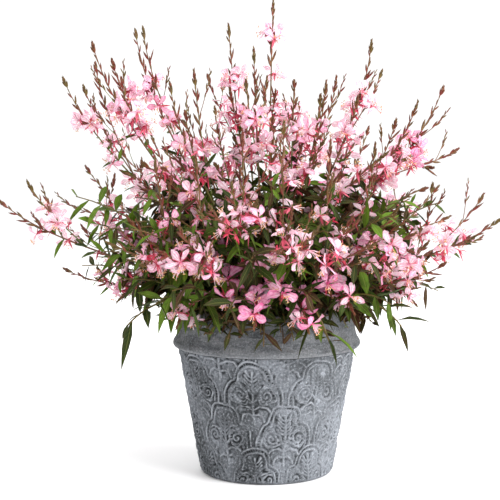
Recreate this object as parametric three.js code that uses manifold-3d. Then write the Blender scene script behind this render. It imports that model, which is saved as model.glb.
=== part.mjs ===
// A gaura in flower in a round, band-rimmed pot. Millimetres, +Z up.
// The origin is the centre of the pot's flat underside; -Y is the side the plant is seen from.
import * as THREE from 'three';
import { mergeVertices } from 'three/addons/utils/BufferGeometryUtils.js';
import Module from 'manifold-3d';

const wasm = await Module();
wasm.setup();

// Pot
const POT_HEIGHT = 178;
const POT_SIDES = 36;
const BASE_RADIUS = 71;
const BODY_TOP_RADIUS = 95;
const LIP_RADIUS = 100.5; // rolled lower lip of the rim band, the widest ring
const BAND_TOP_RADIUS = 94;
const BAND_HEIGHT = 43;
const WALL = 7;
const FLOOR = 12;
const BASE_ROUNDING = 3;
const RIM_ROUNDING = 2;
// The rim band's outline from its lower edge up: width beyond the lip, height above the body
const BAND_OUTLINE = [[-2.2, 0.8], [0, 4.5], [-2.6, 10], [-5.7, 22]];

// Soil
const SOIL_SIDES = POT_SIDES / 2;
const SOIL_EDGE_HEIGHT = 158;
const SOIL_MOUND = 8; // the middle stands this much above the edge
const SOIL_BEND = 0.47; // of its radius, where the mound's two slopes meet
const SEAT_GAP = 0.3; // between pieces that rest on or in each other
const ROOTING_DEPTH = 14;
const STEM_CLEAR_OF_SOIL = 2; // the stems rise straight this far out of their holes

// Stems and wands
const CROWN_SPREAD = 0.2; // a stem's foot lies this fraction of its tip's distance from the axis
const STEM_SIDES = 3;
const SECTION_TURN = 0.3; // radians; keeps a stem's corners off the upright planes of its leaves' midribs
const STEM_RADIUS = 2.0;
const JOIN_RADIUS = 1.5; // where the leafy stem carries its flower spray
const WAND_RADIUS = 1.0;
const WAND_TIP_RADIUS = 0.7;
const LEAFY_SHARE = 0.46; // of the stem's length
const LEAFY_STRETCHES = 3;
const FIRST_BEND = 0.08; // of the stem's length, where its first straight stretch ends
const START_LIFT = 24; // degrees by which a stem starts steeper than its foot-to-tip line
const END_LIFT = 14; // and by which it ends steeper
const STEEPEST_START = 88;
const STEEPEST_END = 86;
const HANDLE_SHARE = 0.33; // of the foot-to-tip length, the curve's control arms
const SIDE_WAND_STARTS = [0.53, 0.62, 0.5]; // along the stem
const SIDE_WAND_BEND = 0.8; // how far a side wand sets off towards its own tip
const SIDE_ROOT_RADIUS = 0.35;
const SIDE_ROOT_SHARE = 0.05; // of the side wand's length
const WAND_STRETCHES = 3;
const SIDE_WAND_STRETCHES = 2;
const INNER_SHOOT_START = 0.2; // of the stem's length
const INNER_SHOOT_BENDS = [0.06, 0.5]; // of the shoot's length
const INNER_SHOOT_LEAVES = 4;
const INNER_SHOOT_LOWEST_LEAF = 0.4;
const INNER_SHOOT_HIGHEST_LEAF = 0.92;
const RIM_SHOOT_FIRST_BEND = 0.12;
const RIM_SHOOT_STRETCHES = 5;
const RIM_SHOOT_RISE = -6; // how far above its arch's top the curve's first handle stands
const RIM_SHOOT_TURN = [0.2, 8]; // its second one: share of the way from that top to the tip, and height

// Leaves, buds and flowers
const LEAVES_PER_STEM = 5;
const RIM_SHOOT_LEAVES = 7;
const LOWEST_LEAF = 0.1; // of the stem's length
const HIGHEST_LEAF = LEAFY_SHARE - 0.03;
const LEAF_LENGTH = 42;
const LEAF_HALF_WIDTH = 4.8;
const LEAF_KEEL = 1.3; // the blade's thickness along its midrib
const LEAF_STALK_RADIUS = 0.6;
const LEAF_OUTLINE = [[0.36, 1], [0.7, 0.8]]; // share of the length, share of the full width
const RIM_SHOOT_LOWEST_LEAF = 0.25;
const RIM_SHOOT_HIGHEST_LEAF = 0.95;
const MAIN_WAND_FLOWERS = 2;
const SECOND_FLOWER_CHANCE = 0.4; // on a side wand, which has one at least
const LOWEST_FLOWER = 0.3; // of the wand's length
const FLOWER_SPACING = 0.2;
const BUD_SHARE = 0.72; // of the wand's length, where a bud stands below the one that ends it
const TIP_BUD_START = 0.93; // along the wand
const TIP_BUD_RADIUS = 1.5;
const BUD_LENGTH = 12;
const BUD_RADIUS = 1.6;
const BUD_WIDEST = 0.42; // of its length
const PETAL_LENGTH = 14.5;
const PETAL_ANGLES = [-106, -36, 36, 106]; // from the top of the flower, degrees
// Petal outline: angle from the petal's middle, share of its length, lift off the disc
const PETAL_OUTLINE = [[-17, 0.96, 1.2], [17, 0.9, -0.6]];
const NOTCH_RADIUS = 2.4; // where two petals meet
const TUBE_LENGTH = 9; // the slender calyx tube that carries a flower
const TUBE_RADIUS = 1.9;
const TUBE_MOUTH_DEPTH = 1.2; // behind the petals' plane
const TUBE_CORNERS = [-60, 60, 180];
const DISC_LIFT = 1; // the middle of the flower stands this much before that plane
const GOLDEN_ANGLE = 137.5;

// Random draws, each from its low to its high value: what is drawn for a leaf, a flower and a bud
const STEM_SEEDS = [7919, 104729]; // the first stem's, and the step to the next one's
const RIM_SHOOT_SEEDS = [15485863, 7919];
const INNER_SHOOT_SEEDS = [1299709, 7919];
const LEAF_DRAWS = {
  rise: [0, 0.5], turn: [0, 50], size: [0.85, 1.15], droop: [0.15, 0.45], lean: [0.35, 0.65],
};
const RIM_LEAF_DRAWS = { turn: [-35, 35], size: [0.75, 1], droop: [0.2, 0.45], lean: [0.5, 0.9] };
const FLOWER_DRAWS = { rise: [0, 0.12], turn: [0, 60], size: [0.92, 1.08], lean: [0.15, 0.5] };
const BUD_DRAWS = { rise: [0, 0.05], size: [1.15, 1.3], lean: [1.3, 1.8] };

// How a piece finds its place: it is shifted in this order until it stands clear of other stems
const PIECE_CLEARANCE = 0.25; // at least, between pieces of different stems
const TURNS = [0, 30, -30, 60, -60, 90, -90, 120, -120, 150, -150, 180]; // round the stem, degrees
const STEPS = [0, 0.01, -0.01, 0.02, -0.02, 0.03, -0.03, 0.04, -0.04, 0.05, -0.05, 0.06, 0.07, 0.08];
const FEW_JOINING_FACES = 8;
const FINEST_DETAIL = 0.02; // no two corners of a body lie closer than this
const NARROWEST_FACE = 0.003;

// Each stem: the tip of its main wand, then the tips of its side wands
const STEMS = [
  [[-282, -20, 292], [-247, -50, 313], [-236, 10, 293], [-165, 30, 318]],
  [[-220, 30, 422], [-202, 60, 415], [-181, -5, 436]],
  [[-179, -45, 454], [-156, -75, 435], [-152, -20, 420]],
  [[-141, 25, 473], [-130, -10, 473], [-121, 55, 402]],
  [[-99, -60, 413], [-76, -30, 428], [-82, -100, 383]],
  [[-41, 35, 480], [-65, 70, 427], [-39, 10, 412]],
  [[-14, -50, 449], [-22, -85, 414], [0, -20, 421]],
  [[7, 10, 503], [9, -20, 407], [34, 50, 401]],
  [[61, -35, 416], [74, 4, 423], [53, -75, 400]],
  [[113, 25, 462], [128, 60, 432], [96, -5, 401]],
  [[154, -50, 395], [128, -85, 375], [146, -20, 344]],
  [[190, 20, 412], [213, 55, 346], [176, -10, 326]],
  [[252, -15, 276], [235, 20, 297], [216, -50, 257], [170, -50, 310]],
  [[181, -70, 230], [160, -100, 255], [158, -50, 203]],
  [[-226, 62, 212], [-209, 85, 259]],
  [[-35, -190, 316], [-55, -215, 296], [-11, -180, 299], [-25, -135, 365]],
  [[-84, -185, 275], [-106, -170, 252], [-64, -215, 243], [-70, -135, 340]],
  [[21, -200, 295], [45, -215, 277], [7, -235, 256], [15, -130, 372]],
  [[79, -170, 284], [104, -165, 260], [61, -210, 243], [60, -130, 355]],
  [[-138, -130, 282], [-159, -120, 256], [-122, -160, 236], [-110, -125, 338]],
  [[128, -120, 291], [145, -115, 264], [117, -155, 236], [105, -110, 352]],
  [[-138, 190, 365], [-172, 175, 342], [-116, 220, 323], [-100, 100, 352]],
  [[-61, 210, 396], [-91, 225, 353], [-33, 230, 341], [-55, 120, 372]],
  [[42, 205, 401], [12, 235, 347], [73, 220, 353], [5, 115, 385]],
  [[125, 185, 371], [103, 215, 323], [154, 175, 330], [85, 105, 360]],
  [[-209, 130, 325], [-223, 120, 279], [-140, 85, 335]],
  [[202, 130, 302], [213, 110, 268], [140, 90, 335]],
];
// Inner leafy shoots: the number of the stem that each grows on, and its tip
const INNER_SHOOTS = [
  [2, [-95, -20, 310]],
  [9, [92, 62, 305]],
  [11, [150, 40, 285]],
  [21, [-80, 165, 262]],
  [24, [110, 150, 262]],
];

// Leafy shoots without flowers that hang over the rim: foot, top of the arch and tip
const RIM_SHOOTS = [
  [[-48, -30, 0], [-98, -62, 200], [-142, -92, 168]],
  [[14, -52, 0], [33, -100, 212], [60, -120, 158]],
  [[50, -26, 0], [98, -56, 200], [136, -78, 166]],
  [[-6, 52, 0], [-12, 104, 202], [-20, 140, 166]],
];

// Looks
const POT_GREY = { color: 0x797c7e, roughness: 0.9 };
const SOIL_BROWN = { color: 0x3b2f26, roughness: 1 };
const LEAF_GREEN = { color: 0x4d6135, roughness: 0.7 };
const SPRAY_PINK = { color: 0xe79ab8, roughness: 0.6 };

const UP = new THREE.Vector3(0, 0, 1);

/** A repeatable stream of numbers from 0 to 1. */
function randomStream(seed) {
  let state = seed;
  return () => {
    state = (state * 16807) % 2147483647;
    return state / 2147483647;
  };
}

/** The next number of a stream, brought into a range. */
function drawn(random, [low, high]) {
  return low + (high - low) * random();
}

/** The geometry of a skin given by its corners and its faces' corner numbers. */
function skin(corners, faces) {
  const geometry = new THREE.BufferGeometry().setFromPoints(corners);
  geometry.setIndex(faces.flat());
  return geometry;
}

/** The solid inside a closed geometry. */
function solidOf(geometry) {
  const bare = geometry.clone();
  bare.deleteAttribute('normal');
  bare.deleteAttribute('uv');
  const merged = mergeVertices(bare);
  const vertProperties = merged.attributes.position.array;
  const triVerts = new Uint32Array(merged.index.array);
  return new wasm.Manifold(new wasm.Mesh({ numProp: 3, vertProperties, triVerts }));
}

/** The geometry of a solid. */
function geometryOf(solid) {
  const { vertProperties, triVerts } = solid.getMesh();
  const geometry = new THREE.BufferGeometry();
  geometry.setAttribute('position', new THREE.BufferAttribute(vertProperties, 3));
  geometry.setIndex(new THREE.BufferAttribute(triVerts, 1));
  geometry.computeVertexNormals();
  return geometry;
}

/** The unit direction at an angle above the horizontal, over a flat outward direction. */
function raised(outward, degrees) {
  const angle = THREE.MathUtils.degToRad(degrees);
  return outward.clone().multiplyScalar(Math.cos(angle)).addScaledVector(UP, Math.sin(angle));
}

/** A curve from foot to tip that starts and ends steeper than the straight line between them. */
function archedCurve(foot, tip) {
  const reach = tip.clone().sub(foot);
  const outward = new THREE.Vector3(reach.x, reach.y, 0).normalize();
  const slope = THREE.MathUtils.radToDeg(Math.asin(reach.z / reach.length()));
  const arm = HANDLE_SHARE * reach.length();
  const start = raised(outward, Math.min(slope + START_LIFT, STEEPEST_START));
  const end = raised(outward, Math.min(slope + END_LIFT, STEEPEST_END));
  return new THREE.CubicBezierCurve3(
    foot, foot.clone().addScaledVector(start, arm), tip.clone().addScaledVector(end, -arm), tip,
  );
}

/** A side wand's curve: it leaves the main wand's axis and turns up towards its own tip. */
function sideCurve(mainAxis, share, tip) {
  const { at: start, along } = placeOn(mainAxis, share);
  const reach = tip.clone().sub(start);
  const arm = HANDLE_SHARE * reach.length();
  const setOff = along.lerp(reach.clone().normalize(), SIDE_WAND_BEND).normalize();
  const outward = new THREE.Vector3(reach.x, reach.y, 0).normalize();
  const slope = THREE.MathUtils.radToDeg(Math.asin(reach.z / reach.length()));
  const end = raised(outward, Math.min(slope + END_LIFT, STEEPEST_END));
  return new THREE.CubicBezierCurve3(
    start, start.clone().addScaledVector(setOff, arm), tip.clone().addScaledVector(end, -arm), tip,
  );
}

/** Two unit directions square to a tangent, the first level; an upright tangent needs an outward way. */
function squareTo(tangent, outward = tangent) {
  const level = new THREE.Vector3().crossVectors(UP, outward).normalize();
  return [level, new THREE.Vector3().crossVectors(tangent, level)];
}

/** A closed skin over a row of sections with equally many corners; the end ones may be single points. */
function closedSkin(sections) {
  const sides = sections[1].length;
  let count = 0;
  const rings = sections.map((section) => section.map(() => count++));
  const faces = [];
  for (let i = 0; i + 1 < rings.length; i += 1) {
    const [low, high] = [rings[i], rings[i + 1]];
    for (let k = 0; k < sides; k += 1) {
      const next = (k + 1) % sides;
      if (low.length > 1) faces.push([low[k], low[next], high[next % high.length]]);
      if (high.length > 1) faces.push([low[k % low.length], high[next], high[k]]);
    }
  }
  const [first, last] = [rings[0], rings[rings.length - 1]];
  for (let k = 1; k + 1 < first.length; k += 1) faces.push([first[0], first[k + 1], first[k]]);
  for (let k = 1; k + 1 < last.length; k += 1) faces.push([last[0], last[k], last[k + 1]]);
  return skin(sections.flat(), faces);
}

/** A closed tapered tube through stations { at, along, radius }; a radius of 0 ends it in a point. */
function taperedTube(stations, sides) {
  return closedSkin(stations.map(({ at, along, radius, outward }) => {
    if (radius === 0) return [at];
    const [level, other] = squareTo(along, outward);
    return Array.from({ length: sides }, (_, k) => {
      const angle = (2 * Math.PI * k) / sides + SECTION_TURN;
      const corner = at.clone().addScaledVector(level, radius * Math.cos(angle));
      return corner.addScaledVector(other, radius * Math.sin(angle));
    });
  }));
}

/** The station at a share of a curve. */
function stationAt(curve, share, radius) {
  return { share, at: curve.getPoint(share), along: curve.getTangent(share), radius };
}

/** Stations along a curve between two shares of it, with radii running evenly from one to the other. */
function stationsAlong(curve, fromShare, toShare, count, fromRadius, toRadius) {
  return Array.from({ length: count + 1 }, (_, i) => {
    const share = THREE.MathUtils.lerp(fromShare, toShare, i / count);
    return stationAt(curve, share, THREE.MathUtils.lerp(fromRadius, toRadius, i / count));
  });
}

/** The point at a share of an axis, a list of stations joined by straight stretches, and its way there. */
function placeOn(axis, share) {
  const next = Math.max(axis.findIndex((station) => station.share >= share), 1);
  const [low, high] = [axis[next - 1], axis[next]];
  const between = THREE.MathUtils.mapLinear(share, low.share, high.share, 0, 1);
  return { at: low.at.clone().lerp(high.at, between), along: high.at.clone().sub(low.at).normalize() };
}

/** A lance-shaped, drooping leaf blade with a keel below, its stalk's end at the centre of the stem. */
function leafBlade({ root, direction, length, droop }) {
  const normal = UP.clone().addScaledVector(direction, -direction.z).normalize();
  const across = new THREE.Vector3().crossVectors(normal, direction);
  const halfWidth = (LEAF_HALF_WIDTH * length) / LEAF_LENGTH;
  const section = (share, halfSpan, keel) => {
    const middle = root.clone()
      .addScaledVector(direction, share * length)
      .addScaledVector(UP, -droop * length * share * share);
    return [
      middle.clone().addScaledVector(across, halfSpan),
      middle.clone().addScaledVector(across, -halfSpan),
      middle.addScaledVector(normal, -keel),
    ];
  };
  const sections = [
    section(0, LEAF_STALK_RADIUS, 1.5 * LEAF_STALK_RADIUS),
    ...LEAF_OUTLINE.map(([share, width]) => section(share, width * halfWidth, LEAF_KEEL)),
    section(1, 0, 0).slice(0, 1),
  ];
  return closedSkin(sections);
}

/** A slender three-sided bud, widest low down. */
function budSpindle({ root, direction, length }) {
  const radius = BUD_RADIUS * Math.sqrt(length / BUD_LENGTH);
  return taperedTube([
    { at: root, along: direction, radius: 0 },
    { at: root.clone().addScaledVector(direction, BUD_WIDEST * length), along: direction, radius },
    { at: root.clone().addScaledVector(direction, length), along: direction, radius: 0 },
  ], STEM_SIDES);
}

/** An open flower: four petals round the mouth of the calyx tube, which tapers back into the wand. */
function openFlower({ root, direction, petal }) {
  const top = UP.clone().addScaledVector(direction, -direction.z).normalize();
  const side = new THREE.Vector3().crossVectors(top, direction);
  const mouth = root.clone().addScaledVector(direction, TUBE_LENGTH);
  const place = (degrees, radius, lift) => {
    const angle = THREE.MathUtils.degToRad(degrees);
    return mouth.clone()
      .addScaledVector(top, radius * Math.cos(angle))
      .addScaledVector(side, -radius * Math.sin(angle))
      .addScaledVector(direction, lift);
  };
  const outline = [];
  PETAL_ANGLES.forEach((middle, i) => {
    for (const [offset, share, lift] of PETAL_OUTLINE) {
      outline.push([middle + offset, share * petal, lift]);
    }
    const following = PETAL_ANGLES[i + 1] ?? 360 + PETAL_ANGLES[0];
    outline.push([(middle + following) / 2, NOTCH_RADIUS, 0]);
  });
  const corners = outline.map(([degrees, radius, lift]) => place(degrees, radius, lift));
  const count = corners.length;
  const [disc, ring, apex] = [count, count + 1, count + 4];
  corners.push(place(0, 0, DISC_LIFT));
  corners.push(...TUBE_CORNERS.map((degrees) => place(degrees, TUBE_RADIUS, -TUBE_MOUTH_DEPTH)));
  corners.push(root);
  const nearest = outline.map(([degrees]) => (degrees < 0 ? 0 : degrees < 120 ? 1 : 2));
  const faces = [];
  for (let i = 0; i < count; i += 1) {
    const next = (i + 1) % count;
    const [here, there] = [ring + nearest[i], ring + nearest[next]];
    faces.push([disc, i, next], [next, i, here]);
    if (here !== there) faces.push([next, here, there]);
  }
  for (let k = 0; k < 3; k += 1) faces.push([ring + ((k + 1) % 3), ring + k, apex]);
  return skin(corners, faces);
}

/** The direction that leaves a stem at an angle round it, leaning towards its tip. */
function leavingAt(tangent, degrees, lean) {
  const [level, other] = squareTo(tangent);
  const angle = THREE.MathUtils.degToRad(degrees);
  return level.multiplyScalar(Math.cos(angle)).addScaledVector(other, Math.sin(angle))
    .addScaledVector(tangent, lean).normalize();
}

/** The soil's height at a distance from the axis. */
function soilHeight(radius) {
  const share = radius / (BODY_TOP_RADIUS - WALL);
  return SOIL_EDGE_HEIGHT + SOIL_MOUND * (1 - share * share);
}

/** The pot's outer radius on the straight body wall. */
function bodyRadius(height) {
  return THREE.MathUtils.mapLinear(height, 0, POT_HEIGHT - BAND_HEIGHT, BASE_RADIUS, BODY_TOP_RADIUS);
}

/** A lathe geometry with +Z as its axis. */
function turned(profile, sides) {
  const points = profile.map(([radius, height]) => new THREE.Vector2(radius, height));
  return new THREE.LatheGeometry(points, sides).rotateX(Math.PI / 2);
}

function potGeometry() {
  const bandBottom = POT_HEIGHT - BAND_HEIGHT;
  const innerTop = BAND_TOP_RADIUS - WALL;
  return turned([
    [0, 0],
    [BASE_RADIUS - BASE_ROUNDING, 0],
    [BASE_RADIUS, BASE_ROUNDING],
    [BODY_TOP_RADIUS, bandBottom],
    ...BAND_OUTLINE.map(([width, height]) => [LIP_RADIUS + width, bandBottom + height]),
    [BAND_TOP_RADIUS, POT_HEIGHT - 2 * RIM_ROUNDING],
    [BAND_TOP_RADIUS - RIM_ROUNDING, POT_HEIGHT],
    [innerTop + RIM_ROUNDING, POT_HEIGHT],
    [innerTop, POT_HEIGHT - RIM_ROUNDING],
    [innerTop, bandBottom],
    [bodyRadius(FLOOR) - WALL, FLOOR],
    [0, FLOOR],
  ], POT_SIDES);
}

/** The soil without its holes, clear of the pot's wall and floor. */
function soilGeometry() {
  const gap = 1.3 * SEAT_GAP; // the sides of both are flat, so the gap is taken a little wider
  const edge = BAND_TOP_RADIUS - WALL - gap;
  return turned([
    [0, FLOOR + SEAT_GAP],
    [bodyRadius(FLOOR) - WALL - gap, FLOOR + SEAT_GAP],
    [edge, POT_HEIGHT - BAND_HEIGHT],
    [edge, SOIL_EDGE_HEIGHT],
    [SOIL_BEND * edge, soilHeight(SOIL_BEND * edge)],
    [0, soilHeight(0)],
  ], SOIL_SIDES);
}

/** Where a stem stands: the foot of its straight rooted end, and where its curve starts. */
function rooting(x, y) {
  const surface = soilHeight(Math.hypot(x, y));
  return {
    foot: new THREE.Vector3(x, y, surface - ROOTING_DEPTH),
    collar: new THREE.Vector3(x, y, surface + STEM_CLEAR_OF_SOIL),
  };
}

/** The straight rooted end of a stem that grows outward; its hole has the same shape. */
function rootedStations(foot, collar, radius, outward) {
  return [foot, collar].map((at) => ({ at, along: UP, radius, outward }));
}

/** A wand's axis: even along its curve, then a last bud that ends it in a point. */
function wandAxis(curve, from, stretches, startRadius) {
  return [
    ...stationsAlong(curve, from, TIP_BUD_START, stretches, startRadius, WAND_TIP_RADIUS),
    stationAt(curve, (1 + TIP_BUD_START) / 2, TIP_BUD_RADIUS),
    stationAt(curve, 1, 0),
  ];
}

/** A side wand's axis, its narrow root sunk in the main wand. */
function sideWandAxis(curve) {
  const beyondRoot = wandAxis(curve, SIDE_ROOT_SHARE, SIDE_WAND_STRETCHES, WAND_RADIUS);
  return [stationAt(curve, 0, SIDE_ROOT_RADIUS), ...beyondRoot];
}

/** An inner leafy shoot's axis, its narrow root sunk in the stem, its tip a point. */
function innerShootAxis(stemAxis, tip) {
  const curve = sideCurve(stemAxis, INNER_SHOOT_START, tip);
  return [
    stationAt(curve, 0, SIDE_ROOT_RADIUS),
    ...INNER_SHOOT_BENDS.map((share) => stationAt(curve, share, WAND_RADIUS)),
    stationAt(curve, 1, 0),
  ];
}

/** Leaves spaced evenly between two shares of a stem, each a golden angle on from the one below. */
function drawnLeaves(random, count, lowest, highest) {
  const highestRise = count - 1 + LEAF_DRAWS.rise[1];
  return Array.from({ length: count }, (_, k) => ({
    share: THREE.MathUtils.lerp(lowest, highest, (k + drawn(random, LEAF_DRAWS.rise)) / highestRise),
    angle: k * GOLDEN_ANGLE + drawn(random, LEAF_DRAWS.turn),
    length: LEAF_LENGTH * drawn(random, LEAF_DRAWS.size),
    droop: drawn(random, LEAF_DRAWS.droop),
    lean: drawn(random, LEAF_DRAWS.lean),
  }));
}

/** Everything that grows on a stem, by rule, from its own stream of random numbers. */
function growStem(index, tips) {
  const random = randomStream(STEM_SEEDS[0] + STEM_SEEDS[1] * index);
  const [mainTip, ...sideTips] = tips.map((tip) => new THREE.Vector3(...tip));
  const { foot, collar } = rooting(CROWN_SPREAD * mainTip.x, CROWN_SPREAD * mainTip.y);
  const curve = archedCurve(collar, mainTip);
  const leaves = drawnLeaves(random, LEAVES_PER_STEM, LOWEST_LEAF, HIGHEST_LEAF);
  const wands = [{ from: LEAFY_SHARE, flowerCount: MAIN_WAND_FLOWERS }];
  sideTips.forEach((tip, k) => {
    const flowerCount = random() < SECOND_FLOWER_CHANCE ? 2 : 1;
    wands.push({ start: SIDE_WAND_STARTS[k], tip, from: 0, flowerCount });
  });
  for (const wand of wands) {
    const turn = 360 * random();
    wand.flowers = Array.from({ length: wand.flowerCount }, (_, k) => ({
      share: LOWEST_FLOWER + k * FLOWER_SPACING + drawn(random, FLOWER_DRAWS.rise),
      angle: turn + k * GOLDEN_ANGLE + drawn(random, FLOWER_DRAWS.turn),
      petal: PETAL_LENGTH * drawn(random, FLOWER_DRAWS.size),
      lean: drawn(random, FLOWER_DRAWS.lean),
    }));
    wand.bud = {
      share: BUD_SHARE + drawn(random, BUD_DRAWS.rise),
      angle: turn + 90,
      length: BUD_LENGTH * drawn(random, BUD_DRAWS.size),
      lean: drawn(random, BUD_DRAWS.lean),
    };
  }
  return { foot, collar, outward: mainTip, curve, leaves, wands };
}

/** An inner leafy shoot and its leaves. */
function growInnerShoot(index, [stemIndex, tip]) {
  const random = randomStream(INNER_SHOOT_SEEDS[0] + INNER_SHOOT_SEEDS[1] * index);
  const leaves = drawnLeaves(
    random, INNER_SHOOT_LEAVES, INNER_SHOOT_LOWEST_LEAF, INNER_SHOOT_HIGHEST_LEAF,
  );
  return { stem: stems[stemIndex], tip: new THREE.Vector3(...tip), leaves };
}

/** A leafy shoot over the rim and its leaves. */
function growRimShoot(index, [footPlace, archTop, tip]) {
  const random = randomStream(RIM_SHOOT_SEEDS[0] + RIM_SHOOT_SEEDS[1] * index);
  const { foot, collar } = rooting(footPlace[0], footPlace[1]);
  const over = new THREE.Vector3(...archTop);
  const end = new THREE.Vector3(...tip);
  const rise = new THREE.Vector3(collar.x, collar.y, over.z + RIM_SHOOT_RISE);
  const [turnShare, turnHeight] = RIM_SHOOT_TURN;
  const turn = over.clone().lerp(end, turnShare).setZ(over.z + turnHeight);
  const curve = new THREE.CubicBezierCurve3(collar, rise, turn, end);
  const leaves = Array.from({ length: RIM_SHOOT_LEAVES }, (_, k) => ({
    share: THREE.MathUtils.lerp(RIM_SHOOT_LOWEST_LEAF, RIM_SHOOT_HIGHEST_LEAF, k / (RIM_SHOOT_LEAVES - 1)),
    angle: (k % 2) * 180 + drawn(random, RIM_LEAF_DRAWS.turn),
    length: LEAF_LENGTH * drawn(random, RIM_LEAF_DRAWS.size),
    droop: drawn(random, RIM_LEAF_DRAWS.droop),
    lean: drawn(random, RIM_LEAF_DRAWS.lean),
  }));
  return { foot, collar, outward: foot, curve, leaves };
}

/** Where a thing that grows at a share of a wand's own length is rooted, and which way it points. */
function rootOn(axis, from, grown, turn) {
  const { at, along } = placeOn(axis, THREE.MathUtils.lerp(from, 1, grown.share));
  return { ...grown, root: at, direction: leavingAt(along, grown.angle + turn, grown.lean) };
}

function boxOf(solid) {
  const { min, max } = solid.boundingBox();
  return new THREE.Box3(new THREE.Vector3(...min), new THREE.Vector3(...max));
}

const NODES = []; // { name, look, body, pieces }, the body being its pieces joined

function addNode(name, look, geometry) {
  const solid = solidOf(geometry);
  const node = { name, look, body: solid, pieces: [{ solid, box: boxOf(solid) }] };
  NODES.push(node);
  return node;
}

/** Whether a solid is clear of every node but its own. */
function isClear(solid, ownNode) {
  const box = boxOf(solid).expandByScalar(PIECE_CLEARANCE);
  return NODES.every((node) => node === ownNode || node.pieces.every((piece) => (
    !box.intersectsBox(piece.box) || solid.minGap(piece.solid, PIECE_CLEARANCE) >= PIECE_CLEARANCE
  )));
}

/** Whether a body has no corners that nearly meet and no hair-thin faces. */
function isSound(solid) {
  const { vertProperties, triVerts } = solid.getMesh();
  const corners = [];
  for (let i = 0; i < vertProperties.length; i += 3) {
    corners.push(new THREE.Vector3(...vertProperties.subarray(i, i + 3)));
  }
  const apart = corners.every((corner, i) => (
    corners.slice(i + 1).every((other) => corner.distanceTo(other) >= FINEST_DETAIL)
  ));
  if (!apart) return false;
  for (let i = 0; i < triVerts.length; i += 3) {
    const { a, b, c } = new THREE.Triangle(...Array.from(triVerts.subarray(i, i + 3), (k) => corners[k]));
    const longest = Math.max(a.distanceTo(b), b.distanceTo(c), c.distanceTo(a));
    const doubleArea = b.clone().sub(a).cross(c.clone().sub(a)).length();
    if (doubleArea / longest < NARROWEST_FACE) return false;
  }
  return true;
}

/** Grows a piece on a node, shifted until it is clear of other nodes and crosses its own node little. */
function growClear(node, shifts, makeGeometry) {
  let best = null;
  for (const shift of shifts) {
    const solid = solidOf(makeGeometry(shift));
    if (!isClear(solid, node)) continue;
    const joined = node.body.add(solid);
    const joiningFaces = joined.numTri() - node.body.numTri() - solid.numTri();
    if (joiningFaces > (best?.joiningFaces ?? Infinity) || !isSound(joined)) continue;
    best = { solid, joined, joiningFaces, shift };
    if (joiningFaces <= FEW_JOINING_FACES) break;
  }
  if (best === null) throw new Error(`nothing more fits on ${node.name}`);
  node.pieces.push({ solid: best.solid, box: boxOf(best.solid) });
  node.body = best.joined;
  return best.shift;
}

/** The largest body of a node's joined pieces, with any sealed hollow filled. */
function mainBody(joined) {
  const bodies = joined.simplify(FINEST_DETAIL).decompose().filter((body) => body.volume() > 0);
  bodies.sort((a, b) => b.volume() - a.volume());
  return bodies[0];
}

/** The number in a repeated node's name. */
const numbered = (name, index) => `${name}_${String(index + 1).padStart(2, '0')}`;

const stems = STEMS.map((tips, index) => growStem(index, tips));
const rimShoots = RIM_SHOOTS.map((places, index) => growRimShoot(index, places));
const innerShoots = INNER_SHOOTS.map((shoot, index) => growInnerShoot(index, shoot));

addNode('pot', POT_GREY, potGeometry());

let soilSolid = solidOf(soilGeometry());
for (const { foot, collar, outward } of [...stems, ...rimShoots]) {
  const holeFoot = foot.clone().addScaledVector(UP, -SEAT_GAP);
  const holeTop = collar.clone().addScaledVector(UP, SOIL_MOUND);
  const hole = rootedStations(holeFoot, holeTop, STEM_RADIUS + 2 * SEAT_GAP, outward);
  soilSolid = soilSolid.subtract(solidOf(taperedTube(hole, STEM_SIDES)));
}
addNode('soil', SOIL_BROWN, geometryOf(soilSolid));

// The stems and the main wands, then the inner shoots and the side wands
stems.forEach((stem, index) => {
  const { foot, collar, outward, curve } = stem;
  const leafyEnd = LEAFY_SHARE - SEAT_GAP / curve.getLength();
  const bends = stationsAlong(curve, FIRST_BEND, leafyEnd, LEAFY_STRETCHES, STEM_RADIUS, JOIN_RADIUS);
  stem.axis = [stationAt(curve, 0, STEM_RADIUS), ...bends];
  const trunk = taperedTube([...rootedStations(foot, collar, STEM_RADIUS, outward), ...bends], STEM_SIDES);
  stem.leafyNode = addNode(numbered('leafy_stem', index), LEAF_GREEN, trunk);
  stem.wands[0].axis = wandAxis(curve, LEAFY_SHARE, WAND_STRETCHES, JOIN_RADIUS);
  const mainWand = taperedTube(stem.wands[0].axis, STEM_SIDES);
  stem.sprayNode = addNode(numbered('flower_spray', index), SPRAY_PINK, mainWand);
});
rimShoots.forEach((shoot, index) => {
  const { foot, collar, outward, curve } = shoot;
  const bends = stationsAlong(curve, RIM_SHOOT_FIRST_BEND, 1, RIM_SHOOT_STRETCHES, STEM_RADIUS, WAND_RADIUS);
  shoot.axis = [stationAt(curve, 0, STEM_RADIUS), ...bends];
  const trunk = taperedTube([...rootedStations(foot, collar, STEM_RADIUS, outward), ...bends], STEM_SIDES);
  shoot.node = addNode(numbered('rim_shoot', index), LEAF_GREEN, trunk);
});
for (const shoot of innerShoots) {
  shoot.axis = innerShootAxis(shoot.stem.axis, shoot.tip);
  growClear(shoot.stem.leafyNode, [0], () => taperedTube(shoot.axis, STEM_SIDES));
}
for (const { wands: [mainWand, ...sideWands], sprayNode } of stems) {
  for (const wand of sideWands) {
    const axisAt = (step) => sideWandAxis(sideCurve(mainWand.axis, wand.start + step, wand.tip));
    const step = growClear(sprayNode, STEPS, (tried) => taperedTube(axisAt(tried), STEM_SIDES));
    wand.axis = axisAt(step);
  }
}

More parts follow.
